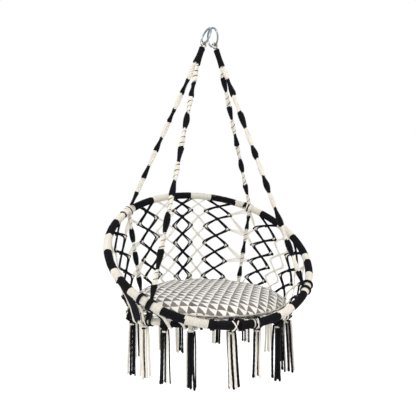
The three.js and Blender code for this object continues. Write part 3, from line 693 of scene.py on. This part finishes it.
UPPER_BLACK = {
    "back_left": [(0.098, 0.194), (0.297, 0.386), (0.493, 0.588), (0.692, 0.784), (0.887, 0.985)],
    "front_left": [
        (0.087, 0.155), (0.236, 0.305), (0.387, 0.455), (0.535, 0.598), (0.668, 0.748), (0.813, 0.891), (0.947, 1.0),
    ],
    "back_right": [(0.056, 0.149), (0.249, 0.335), (0.441, 0.53), (0.628, 0.731), (0.833, 0.912)],
    "front_right": [
        (0.058, 0.135), (0.211, 0.288), (0.37, 0.43), (0.509, 0.586), (0.654, 0.736), (0.798, 0.869), (0.936, 0.997),
    ],
}
LOWER_BLACK = {
    "back_left": [(0.145, 0.29), (0.402, 0.551), (0.69, 0.843)],
    "back_right": [(0.041, 0.187), (0.322, 0.459), (0.61, 0.726)],
    "front_left": [(0.3, 1.0)],
    "front_right": [(0.0, 0.6)],
}
EDGES = {
    "back_left": [0.153, 0.348, 0.529, 0.711, 0.978],
    "front_left": [0.117, 0.224, 0.318, 0.452, 0.535, 0.654, 0.757, 0.895, 1.0],
    "back_right": [0.146, 0.33, 0.441, 0.611, 0.741, 0.912],
    "front_right": [0.063, 0.173, 0.286, 0.365, 0.437, 0.509, 0.582, 0.656, 0.762, 0.869, 0.975],
}
LOWER_EDGES = [0.1, 0.35, 0.6]
SPECKED = ("front_left", "back_right")
# Turns of a rope round the hoop and the seat ring: shifts along the tube, and colours
HITCHES = {
    "back_left": [(-0.0062, "c"), (0.0, "b"), (0.0062, "c")],
    "front_left": [(-0.044, "b"), (-0.0378, "b"), (-0.0062, "b"), (0.0, "b"), (0.0062, "b")],
    "back_right": [(-0.0062, "c"), (0.0, "c"), (0.0062, "b"), (0.0124, "c")],
    "front_right": [(0.0, "b"), (0.006, "b"), (0.034, "b"), (0.04, "b")],
}
FOOT_HITCH = [(-0.0062, "b"), (0.0, "c"), (0.0062, "b")]
HITCH_CORD = 0.0031
HITCH_LIFT = 0.0032
ROPE_GAP = 0.004
NECK_CORD = 0.0044


def rope_run(side, leg):
    """Where a rope leaves its whipping, and where the whipping lets it go."""
    _, down, across, _, end = neck_frame(side)
    start = end + down * 0.004 + across * leg * EYE_LEG - LEVEL * leg * 0.002
    return start, end + across * leg * EYE_LEG


def rope(where, word, hoop_angle, foot_angle):
    side = -1 if word == "left" else 1
    leg = -1 if where == "back" else 1
    key = f"{where}_{word}"
    start, bound = rope_run(side, leg)
    hoop, foot = hoop_point(hoop_angle), seat_point(foot_angle)
    top = hoop + unit(start - hoop) * (HOOP_WRAP + ROPE_GAP)
    below = hoop + unit(foot - hoop) * (HOOP_WRAP + ROPE_GAP)
    rest = foot + unit(hoop - foot) * (SEAT_WRAP + ROPE_GAP)
    upper = knotted_band(start, top, alternate(UPPER_BLACK[key]), edge_turns(EDGES[key]), key in SPECKED)
    lower = knotted_band(below, rest, alternate(LOWER_BLACK[key]), edge_turns(LOWER_EDGES), where == "back")
    runs = {colour: upper[colour] + lower[colour] for colour in upper}
    down = neck_frame(side)[1]
    runs["cream"].append((np.array([bound - down * 0.012, bound, start + down * 0.004]), NECK_CORD))
    along, radius = hoop_tangent(hoop_angle), HOOP_WRAP + HITCH_LIFT
    for k, (shift, shade) in enumerate(HITCHES[key]):
        middle = hoop_point(hoop_angle + math.degrees(shift / HOOP_RADIUS))
        runs[COLOURS[shade]].append(closed_loop(middle, along, radius, HITCH_CORD, k))
    along, radius = seat_tangent(foot_angle), SEAT_WRAP + HITCH_LIFT
    for k, (shift, shade) in enumerate(FOOT_HITCH):
        runs[COLOURS[shade]].append(closed_loop(foot + along * shift, along, radius, HITCH_CORD, k))
    two_colours(f"{key}_rope", runs, node=f"rope_{key}")


for word in ("left", "right"):
    rope("back", word, BACK_ROPES[word], BACK_ROPES[word])
    rope("front", word, FRONT_ROPES[word], FRONT_FEET[word])


# Net: columns of crossed and doubled cords between the hoop and the seat ring
BLACK_COLUMNS = [
    (-24.5, 8.2), (4.5, 8.2), (35.5, 8.5), (72.5, 8.4), (97.8, 6.0), (125.2, 7.4), (157.0, 8.6), (185.5, 8.2),
]
CREAM_COLUMNS = [(-9.8, 6.0), (19.8, 6.5), (86.4, 4.9), (110.8, 6.4), (171.2, 5.2), (200.5, 6.2)]
# Each colour's cord, doubling, extra half width, and the radius and cord of the knots at its crossings
NET_CORDS = {"black": (0.0035, 0.0066, 0.0, 0.0074, 0.0026), "cream": (0.0022, 0.004, 0.5, 0.0058, 0.0022)}
NET_BEND = 0.965
STAR_REACH = 0.155
STAR_SECTIONS = {"left": (0.06, 0.345, 0.62, 0.92), "right": (0.0, 0.255, 0.535, 0.86)}
STAR_COLUMNS = {"left": (5, 6), "right": (2, 3)}
STAR_CORD = 0.002


def zigzag(phase):
    return np.arcsin(NET_BEND * np.sin(phase)) / math.asin(NET_BEND)


def knot_depths(degrees, length):
    """Depths of a column's crossings below the hoop."""
    depths = [FIRST_KNOT_DEPTH]
    if degrees in SHORT_ROW_COLUMNS:
        depths.append(FIRST_KNOT_DEPTH + SHORT_ROW_HEIGHT)
    rows = max(1, round((length - depths[-1]) / ROW_HEIGHT))
    last = depths[-1]
    return depths + [last + (length - last) * k / rows for k in range(1, rows + 1)]


def tip_depths(depths):
    """Depths of a column's tips, half way between its crossings."""
    return [0.5 * (a + b) for a, b in zip(depths, depths[1:])]


def drift(phase, size, speed):
    return size * np.sin(phase * speed + rng.uniform(0, TURN))


def column_runs(degrees, half_angle, cord, doubling):
    """A column's cords, the depths of its crossings and its length."""
    length = net_length(degrees)
    depths = knot_depths(degrees, length)
    y = np.linspace(-0.007, length + 0.004, max(int(length / 0.0045), 12))
    marks = [depths[0] - (depths[1] - depths[0])] + depths + [length + 0.05]
    phase = math.pi * np.interp(y, marks, list(range(-1, len(depths) + 1)))
    wave = zigzag(phase)
    over = np.cos(phase)
    metre = 0.5 * (HOOP_RADIUS + SEAT_RADIUS)
    runs = []
    for way in (-1, 1):
        slack = drift(phase, 0.34, 0.31) + drift(phase, 0.26, 0.83)
        for twin in (-1, 1):
            slack = slack + drift(phase, 0.16, 1.9)
            apart = 0.68 - 0.32 * np.cos(2 * phase + rng.uniform(-0.9, 0.9))
            shift = math.degrees(twin * doubling / metre) * apart
            angle = degrees + way * wave * (half_angle - 0.35) + shift + slack
            runs.append((net_surface(angle, y / length, way * over * cord * 1.1), cord))
    return runs, depths, length


def column_knots(degrees, depths, length, radius, cord):
    """Short wrapped knots where the cords of a column cross."""
    runs = []
    for y in depths[:-1]:
        middle = net_surface(degrees, y / length)
        axis = unit(middle - net_surface(degrees, (y - 0.01) / length))
        runs.append(wrapped(middle, axis, radius, cord, 2.5, 1.9 * cord))
    return runs


tip_runs = no_runs()


def tip_knots(degrees, half, depths, length):
    """Small cream and black knots that tie a black column's tips to the cords beside it."""
    for y in tip_depths(depths):
        for way in (-1, 1):
            edge, out = (net_surface(degrees + way * (half + more), y / length) for more in (-0.2, 1.3))
            axis = unit(out - edge)
            tip_runs["cream"].append(wrapped(edge - axis * 0.002, axis, 0.0046, 0.0019, 2.5, 0.0036))
            tip_runs["black"].append(wrapped(out - axis * 0.001, axis, 0.0042, 0.0022, 1.5, 0.0036))


for colour, columns in (("black", BLACK_COLUMNS), ("cream", CREAM_COLUMNS)):
    cord, doubling, wider, *knots = NET_CORDS[colour]
    for index, (degrees, half) in enumerate(columns, 1):
        runs, depths, length = column_runs(degrees, half + wider, cord, doubling)
        runs += column_knots(degrees, depths, length, *knots)
        cords(f"{colour}_column_{index}", colour, runs, node=f"net_{colour}_{index}")
        if colour == "black":
            tip_knots(degrees, half, depths, length)


def star_fans(word):
    """Thin cords from a back rope's cream sections to the tips of the black columns beside it."""
    runs = []
    degrees = BACK_ROPES[word]
    t = np.linspace(0, 1, 16)
    for column, side in zip(STAR_COLUMNS[word], (1, -1)):
        middle, half = BLACK_COLUMNS[column]
        length = net_length(middle)
        tips = [depth / length for depth in tip_depths(knot_depths(middle, length))]
        angle = degrees + (middle + side * half - degrees) * t
        for section in STAR_SECTIONS[word]:
            for tip in (tip for tip in tips if abs(tip - section) <= STAR_REACH):
                for way in (-1, 0, 1):
                    share = section + way * 0.018 + (tip + way * 0.006 - section - way * 0.018) * t**1.15
                    lift = 0.004 * way * np.sin(math.pi * t)
                    runs.append((net_surface(angle, np.maximum(share, -0.01), lift), STAR_CORD))
    return runs


for word in ("left", "right"):
    cords(f"star_cords_{word}", "cream", star_fans(word))
two_colours("tip_knots", tip_runs)

# Seat net: cords that cross on their way out from a coiled middle, held to the ring by loops
SEAT_NET_RIM = 0.285
HUB = 0.06
PETALS = 16
ROWS = 3
TASSEL_ANGLES = [190, 208.8, 227.2, 244.7, 269.2, 287.6, 307.4, 329.9, 355, 14.6, 40, 67, 101.2, 118, 149.2]


def seat_net():
    runs = []
    reach = SEAT_NET_RIM - HUB
    t = np.linspace(0, 1, 46)
    for k in range(PETALS):
        for way in (-1, 1):
            angle = TURN * k / PETALS + way * t * ROWS * math.pi / PETALS
            lift = way * 0.0022 * np.cos(t * ROWS * math.pi)
            runs.append((SEAT_CENTRE + level(angle, HUB + reach * t, lift), 0.0025))
    t = np.linspace(0, 1, 420)
    runs.append((SEAT_CENTRE + level(TURN * 10 * t, 0.004 + (HUB - 0.002) * t), 0.0028))
    a = np.linspace(0, TURN, 180, endpoint=False)
    for radius in (SEAT_NET_RIM - 0.003, SEAT_NET_RIM + 0.003):
        runs.append((SEAT_CENTRE + level(a, radius), 0.0027, True))
    for row in range(1, ROWS + 1):
        for k in range(PETALS):
            angle = TURN * (k + (row % 2) / 2) / PETALS
            radius = HUB + reach * row / ROWS - (0.004 if row == ROWS else 0)
            out = level(angle, 1.0)
            runs.append(wrapped(SEAT_CENTRE + out * radius, out, 0.0052, 0.0018, 2.5, 0.0036))
    cords("seat_net_cords", "cream", runs, node="seat_net")


seat_net()


def ring_ties():
    """Loops that tie the rim of the seat net to the seat ring, where nothing else is tied."""
    busy = [*TASSEL_ANGLES, *BACK_ROPES.values(), *FRONT_FEET.values(), *LASHINGS]
    runs = []
    for k in range(24):
        degrees = (TIE_START + k * TIE_STEP) % 360
        if all(abs((degrees - b + 180) % 360 - 180) > 4 for b in busy):
            out, axis = seat_out(degrees), seat_tangent(degrees)
            rim = SEAT_CENTRE + out * SEAT_NET_RIM
            loop = belt(seat_point(degrees), rim, SEAT_WRAP + 0.0024, 0.0066, out, UP, 24)
            runs += [(loop + axis * shift * 0.0046, 0.0021, True) for shift in (-1, 0, 1)]
    cords("seat_net_ties", "cream", runs)


ring_ties()


# Lashings, crossed knots and straps at the front of the hoop
def hoop_across(centre, axis, degrees):
    """The hoop's point straight across from a point of the seat ring."""
    for _ in range(12):
        degrees -= math.degrees(np.dot(hoop_point(degrees) - centre, axis) / HOOP_RADIUS)
    return hoop_point(degrees)


def lashing(index, degrees):
    """Three turns of black cord round the hoop and the seat ring."""
    centre, axis = seat_point(degrees), seat_tangent(degrees)
    far = hoop_across(centre, axis, degrees)
    towards = unit(far - centre)
    side = unit(np.cross(axis, towards))
    loop = belt(far, centre, HOOP_WRAP + 0.0026, SEAT_WRAP + 0.0026, towards, side, 28)
    runs = [(loop + axis * shift * 0.0044, 0.0022, True) for shift in (-1, 0, 1)]
    cords(f"lashing_{index}_black", "black", runs, node=f"front_lashing_{index}")


for index, degrees in enumerate(LASHINGS, 1):
    lashing(index, degrees)

# Crossed knots on the hoop: angle, half width in degrees, and colours
CROSS_KNOTS = ((269.6, 1.5, "cb"), (280.0, 0.6, "c"), (53.0, 1.2, "bb"), (147.4, 0.5, "b"))
CROSS_CORD = 0.0024


def cross_knots():
    runs = no_runs()
    t = np.linspace(-1, 1, 24)
    a = t * 1.15
    for degrees, size, colours in CROSS_KNOTS:
        out = hoop_out(degrees)
        face = unit(out + 0.6 * UP) if degrees > 180 else unit(UP - 0.8 * out)
        side = np.cross(hoop_tangent(degrees), face)
        for k, shade in enumerate(colours):
            for way in (-1, 1):
                place = hoop_point(degrees + way * t * size + (k - (len(colours) - 1) / 2) * 0.7)
                line = place + (HOOP_WRAP + 0.0028) * circle(a, face, side)
                runs[COLOURS[shade]].append((line, CROSS_CORD))
    two_colours("cross_knots", runs)


cross_knots()

# Straps: angle on the hoop, angle on the seat ring, colour and number of cords
STRAPS = [
    (206, 201.5, "c", 2), (208.5, 203.5, "b", 3), (212, 206, "b", 3), (215.5, 208, "b", 3),
    (219.5, 212.8, "c", 2), (229, 217, "b", 2),
    (231, 231.5, "c", 3), (228.5, 229, "b", 2), (239, 241, "c", 2),
    (246, 248, "c", 2), (251, 251, "b", 2), (241, 247.5, "b", 2),
    (266.5, 267, "c", 2), (270.5, 271, "c", 2),
    (284.5, 285, "b", 2), (289, 289.5, "c", 2), (303, 305, "b", 3), (306, 309, "c", 2),
    (325, 327.5, "b", 2), (329.5, 332, "c", 2),
]
STRAP_CORD = 0.0026
STRAP_SPACING = 0.0052


def straps():
    """Cords that run from under the hoop down to the tassels at the front of the seat ring."""
    runs = no_runs()
    over = HOOP_WRAP + 0.0026
    under = SEAT_WRAP + 0.0028
    for hoop_angle, ring_angle, shade, count in STRAPS:
        top, foot = hoop_point(hoop_angle), seat_point(ring_angle)
        out = unit((top - SEAT_CENTRE) * (1, 1, 0))
        below, beside = -HOOP_NORMAL * over, hoop_out(hoop_angle) * over
        for k in range(count):
            shift = (k - (count - 1) / 2) * STRAP_SPACING
            upper = top + hoop_tangent(hoop_angle) * shift
            lower = foot + seat_tangent(ring_angle) * shift * 0.8
            points = [
                upper + below * 0.75 - beside * 0.6, upper + below, upper + below * 0.92 + beside * 0.3,
                0.45 * upper + 0.55 * lower + out * 0.007 - UP * 0.003,
                lower + out * under - UP * 0.002, lower - UP * under, lower - out * under * 0.9,
            ]
            runs[COLOURS[shade]].append((smooth_path(points, 40), STRAP_CORD))
    two_colours("front_straps", runs)


straps()

# Tassels: a cow hitch round the seat ring, a gathered knot and splayed strands.
# Each has its length, its strands' colours from left to right (b and c are thin ones), its knot's colour and its lean
TASSELS = [
    (0.235, "CBBb", "b", -0.006), (0.217, "CCbCC", "c", 0), (0.22, "BBBcb", "b", -0.004),
    (0.224, "cBBBb", "c", 0.002), (0.228, "bCBCB", "b", 0.011), (0.199, "BcBC", "b", 0),
    (0.23, "BBBB", "b", 0), (0.235, "BbCBcBC", "b", 0.012), (0.224, "BBCB", "c", 0.004),
    (0.211, "CCCC", "c", 0), (0.19, "BbBcB", "b", 0), (0.212, "CCbBcB", "c", -0.004),
    (0.246, "CCBbB", "c", 0), (0.22, "CCbCC", "c", 0), (0.225, "BCBCB", "b", 0),
]
STRAND_RADII = {"C": 0.0042, "B": 0.0043, "c": 0.0028, "b": 0.0026}
# Tassels whose bar would meet the hoop when they swing
UNDER_THE_HOOP = (4, 5)
# How far below the ring's middle the knot and the strands start
NECK_DROP = 0.0185
STRAND_DROP = 0.0235
COIL_LENGTH = 0.0085


def neck_coil(neck):
    """Points of the cord wound round a tassel's neck, wider half way down."""
    t = np.linspace(0, 1, 29)
    swell = (0.008 + 0.0008 * np.sin(math.pi * t))[:, None]
    turns = COIL_LENGTH / 0.0046
    return neck - np.outer(t, UP * COIL_LENGTH) - swell * circle(TURN * t * turns + 0.4, LEVEL, ACROSS)


def tassel(index, degrees, length, shades, knot, lean):
    body = f"tassel_{index}"
    centre, axis, out = seat_point(degrees), seat_tangent(degrees), seat_out(degrees)
    main, other = (COLOURS[shade] for shade in ("cb" if knot == "c" else "bc"))
    runs = no_runs()
    for k in (-1, 1):
        runs[main].append(closed_loop(centre + axis * k * 0.0036, axis, SEAT_WRAP + 0.0036, 0.0029))
    face = out if np.dot(out, VIEW) < 0 else -out
    hidden = face @ out < 0 or index in UNDER_THE_HOOP
    reach, drop = (0.0164, 0.0152) if hidden else (0.0222, 0.006)
    near, low = drop + 0.003, 0.6 * drop + 0.0134
    bends = ((-0.0062, 0.45, low), (-0.005, 0.9, near), (0, 1, drop), (0.005, 0.9, near), (0.0062, 0.45, low))
    bar = [centre + axis * along + face * share * reach - UP * fall for along, share, fall in bends]
    neck = centre - UP * NECK_DROP
    runs[main].append((smooth_path(bar, 20), 0.003))
    runs[main].append((neck_coil(neck), 0.0026))
    runs[other].append(wrapped(neck - UP * 0.0115, -UP, 0.0082, 0.0018, 1.5, 0.003))
    deep = np.cross(UP, RIGHT)
    radii = np.array([STRAND_RADII[shade] for shade in shades])
    places = np.cumsum(2 * radii) - radii - radii.sum()
    t = np.linspace(0, 1, 44)
    for k, shade in enumerate(shades):
        thick = shade in "CB"
        back = (-1) ** k * 0.0022
        spread = 0.02 + 0.14 * rng.random()
        end = length * (1 - (0.06 * rng.random() if thick else 0.03))
        sway = rng.normal(0, 0.0017, (2, 2))
        points = []
        for s in np.linspace(0, 1, 6):
            beside = places[k] * (0.8 + 0.12 * min(s * 6, 1.0) + spread * s) + lean * s
            away = beside * RIGHT + back * (1 + s) * deep
            bend = sway[0] * math.sin(math.pi * s) + sway[1] * s * s
            z = -STRAND_DROP - (end - STRAND_DROP) * s
            points.append(centre + away + RIGHT * bend[0] + deep * bend[1] + UP * z)
        lump = np.exp(-(((t - 0.965) / 0.022) ** 2)) * (0.28 if thick else 0.2)
        fray = np.where(t > 0.985, 0.75, 1.0)
        ripple = 1 + 0.05 * np.sin(t * 60 + k)
        run = smooth_path(points, 44), radii[k] * (1 + lump) * fray * ripple
        runs[COLOURS[shade.lower()]].append(run)
    two_colours(body, runs, body, body, main, 8)


for index, (degrees, details) in enumerate(zip(TASSEL_ANGLES, TASSELS), 1):
    tassel(index, degrees, *details)

# Cushion: a round stuffed pad with a puckered seam
CUSHION_RADIUS = 0.3
CUSHION_CENTRE = SEAT_CENTRE + (0.008, -0.012, 0.0)
CUSHION_REST = 0.0033
CUSHION_SLOPE = math.tan(math.radians(7.1))
SEAM_RISE = 0.058
CROWN_RISE = SEAM_RISE + 0.036
CLOTH_REACH = 0.012
CLOTH_FRAMES = 20
FOLDS = 58


def cushion_start():
    """The pad before it is blown up, a little smaller than it ends."""
    bm = bmesh.new()
    outline = [
        (0.0, 0.0), (0.12, 0.0), (0.232, 0.001), (0.257, 0.016), (0.276, 0.035), (0.287, 0.0505), (0.2905, 0.0575),
        (0.287, 0.065), (0.272, 0.073), (0.245, 0.0795), (0.203, 0.0845), (0.15, 0.088), (0.08, 0.09), (0.0, 0.0905),
    ]
    verts = [bm.verts.new((x, 0.0, z)) for x, z in outline]
    edges = [bm.edges.new(pair) for pair in zip(verts, verts[1:])]
    bmesh.ops.spin(bm, geom=verts + edges, cent=(0, 0, 0), axis=(0, 0, 1), angle=TURN, steps=96, use_merge=True)
    return finished(bm, "cushion", 1e-4)


def applied(obj):
    """Works out the object's modifiers into its mesh."""
    graph = bpy.context.evaluated_depsgraph_get()
    mesh = bpy.data.meshes.new_from_object(obj.evaluated_get(graph))
    obj.modifiers.clear()
    old, obj.data = obj.data, mesh
    bpy.data.meshes.remove(old)


def points_of(mesh):
    places = np.zeros(len(mesh.vertices) * 3, np.float32)
    mesh.vertices.foreach_get("co", places)
    return places.reshape(-1, 3).astype(float)


def blow_up(obj):
    """Remeshes the pad and fills it with a short cloth simulation, keeping each point near its start."""
    adjust(obj.modifiers.new("remesh", "REMESH"), mode="VOXEL", voxel_size=0.006)
    applied(obj)
    before = points_of(obj.data)
    cloth = obj.modifiers.new("cloth", "CLOTH")
    adjust(cloth.settings, quality=5, mass=0.3, use_pressure=True, uniform_pressure_force=4)
    cloth.settings.effector_weights.gravity = 0
    cloth.collision_settings.use_collision = False
    adjust(cloth.point_cache, frame_start=1, frame_end=CLOTH_FRAMES)
    for number in range(1, CLOTH_FRAMES + 1):
        scene.frame_set(number)
    applied(obj)
    move = points_of(obj.data) - before
    far = np.linalg.norm(move, axis=1)
    move *= (np.minimum(far, CLOTH_REACH) / np.maximum(far, 1e-9))[:, None]
    obj.data.vertices.foreach_set("co", flat(before + move))
    scene.frame_set(1)
    adjust(obj.modifiers.new("finer", "SUBSURF"), levels=1, render_levels=1)
    applied(obj)


def shape_cushion(obj):
    """Seam groove and the folds that run out from it, the printed cloth's layout, then the slope of the seat."""
    co = points_of(obj.data)
    x, y, z = co.T
    angle = np.arctan2(y, x)
    co[:, :2] *= (CUSHION_RADIUS - 0.001) / np.hypot(x, y).max()
    out = np.hypot(x, y)
    above = (CROWN_RISE - SEAM_RISE) / (z.max() - SEAM_RISE)
    below = SEAM_RISE / (SEAM_RISE - z.min())
    z[:] = SEAM_RISE + (z - SEAM_RISE) * np.where(z > SEAM_RISE, above, below)
    near = np.clip((out - 0.19) / 0.1, 0, 1)
    folds = np.random.default_rng(5)
    starts = np.sort(np.linspace(0, TURN, FOLDS, endpoint=False) + folds.normal(0, 0.025, FOLDS))
    depth = np.zeros(len(co))
    height = np.abs(z - SEAM_RISE)
    for a in starts:
        reach = 0.016 + 0.03 * folds.random()
        size = 0.0022 + 0.0032 * folds.random()
        width = 0.01 + 0.008 * folds.random()
        lean = folds.normal(0, 0.6)
        gap = (angle - a + math.pi) % TURN - math.pi
        across = gap * 0.3 + lean * (z - SEAM_RISE) * 0.25
        depth += size * np.exp(-((across / (width * 0.5)) ** 2)) * np.exp(-((height / reach) ** 2))
    groove = 0.0045 * np.exp(-((height / 0.005) ** 2))
    inward = near * (np.minimum(depth, 0.006) + groove)
    x -= np.cos(angle) * inward
    y -= np.sin(angle) * inward
    z -= np.clip((z - SEAM_RISE) / 0.05, 0, 1) * near * depth * 0.6
    lumps = np.sin(x * 31 + 1.0) * np.sin(y * 27 + 0.5) + 0.6 * np.sin(x * 63 + y * 41)
    z += 0.0016 * lumps * np.clip(z / 0.09, 0, 1)
    z[:] = np.clip(z, 0.0003, CROWN_RISE)
    gone = np.hypot(CUSHION_RADIUS - np.hypot(x, y), z - SEAM_RISE)
    cloth = math.hypot(CUSHION_RADIUS, CROWN_RISE - SEAM_RISE) + np.where(z > SEAM_RISE, -gone, gone)
    lay_out(obj.data, np.stack([cloth * np.cos(angle), cloth * np.sin(angle)], -1)[corners_of(obj.data)])
    z += np.minimum(z / SEAM_RISE, 1.0) * CUSHION_SLOPE * y
    co += CUSHION_CENTRE + UP * CUSHION_REST
    obj.data.vertices.foreach_set("co", flat(co))
    obj.data.update()
    for polygon in obj.data.polygons:
        polygon.use_smooth = True


cushion = piece("round_cushion", cushion_start(), PRINT)
blow_up(cushion)
shape_cushion(cushion)
coat(cushion.data, PRINT)
keep(cushion, "cushion", "cushion")


def cushion_seam():
    """Thin cord sewn into the seam."""
    a = np.linspace(0, TURN, 340, endpoint=False)
    wave = 0.0007 * np.sin(a * 58) + 0.0004 * np.sin(a * 23)
    radius = CUSHION_RADIUS - 0.0048 + wave
    rise = CUSHION_REST + SEAM_RISE + CUSHION_SLOPE * radius * np.sin(a)
    mesh = cord_mesh([(CUSHION_CENTRE + level(a, radius, rise), 0.0021, True)], 6)
    keep(piece("cushion_seam_cord", mesh, PIPING), "cushion")


cushion_seam()


# Studio
FLOOR_HEIGHT = -1.76
FLOOR_GLOW = 0.47
SKY_STRENGTH = 0.74
WHITE = (1, 1, 1, 1)


def floor_finish():
    f = Finish(bpy.data.materials.new("floor"))
    seen = f.node("ShaderNodeLightPath")
    colour = f.blend(f.noise(2.0), linear(246, 246, 246), linear(250, 250, 250))
    matt = f.node("ShaderNodeBsdfDiffuse", {"Color": colour})
    glow = f.node("ShaderNodeEmission", {"Color": WHITE, "Strength": seen * FLOOR_GLOW})
    f.node("ShaderNodeOutputMaterial", {"Surface": f.node("ShaderNodeAddShader", {0: matt, 1: glow})})
    return f.owner


def studio():
    bm = bmesh.new()
    bmesh.ops.create_grid(bm, x_segments=1, y_segments=1, size=14)
    bmesh.ops.translate(bm, vec=(0, 0, FLOOR_HEIGHT), verts=bm.verts)
    piece("floor", finished(bm, "floor"), floor_finish())
    scene.world = bpy.data.worlds.new("studio")
    f = Finish(scene.world)
    seen, glossy, through = (f.node("ShaderNodeLightPath", None, output) for output in (0, 3, 6))
    direct = seen.highest(glossy).highest(through)
    sky, white = (f.node("ShaderNodeBackground", {"Color": WHITE, "Strength": s}) for s in (SKY_STRENGTH, 1.0))
    mixed = f.node("ShaderNodeMixShader", {0: direct, 1: sky, 2: white})
    f.node("ShaderNodeOutputWorld", {"Surface": mixed})
    for name, place, size, power in (
        ("key", (-1.4, -2.1, 1.0), 1.6, 46), ("fill", (2.2, -1.2, -0.2), 1.8, 10), ("rim", (0.6, 2.2, 0.8), 1.4, 9),
    ):
        light = bpy.data.lights.new(name, "AREA")
        adjust(light, size=size, energy=power)
        lamp = added(name, light)
        lamp.location = place
        lamp.rotation_euler = (Vector((0, 0, -0.9)) - Vector(place)).to_track_quat("-Z", "Y").to_euler()


studio()
scene.view_settings.view_transform = "Standard"
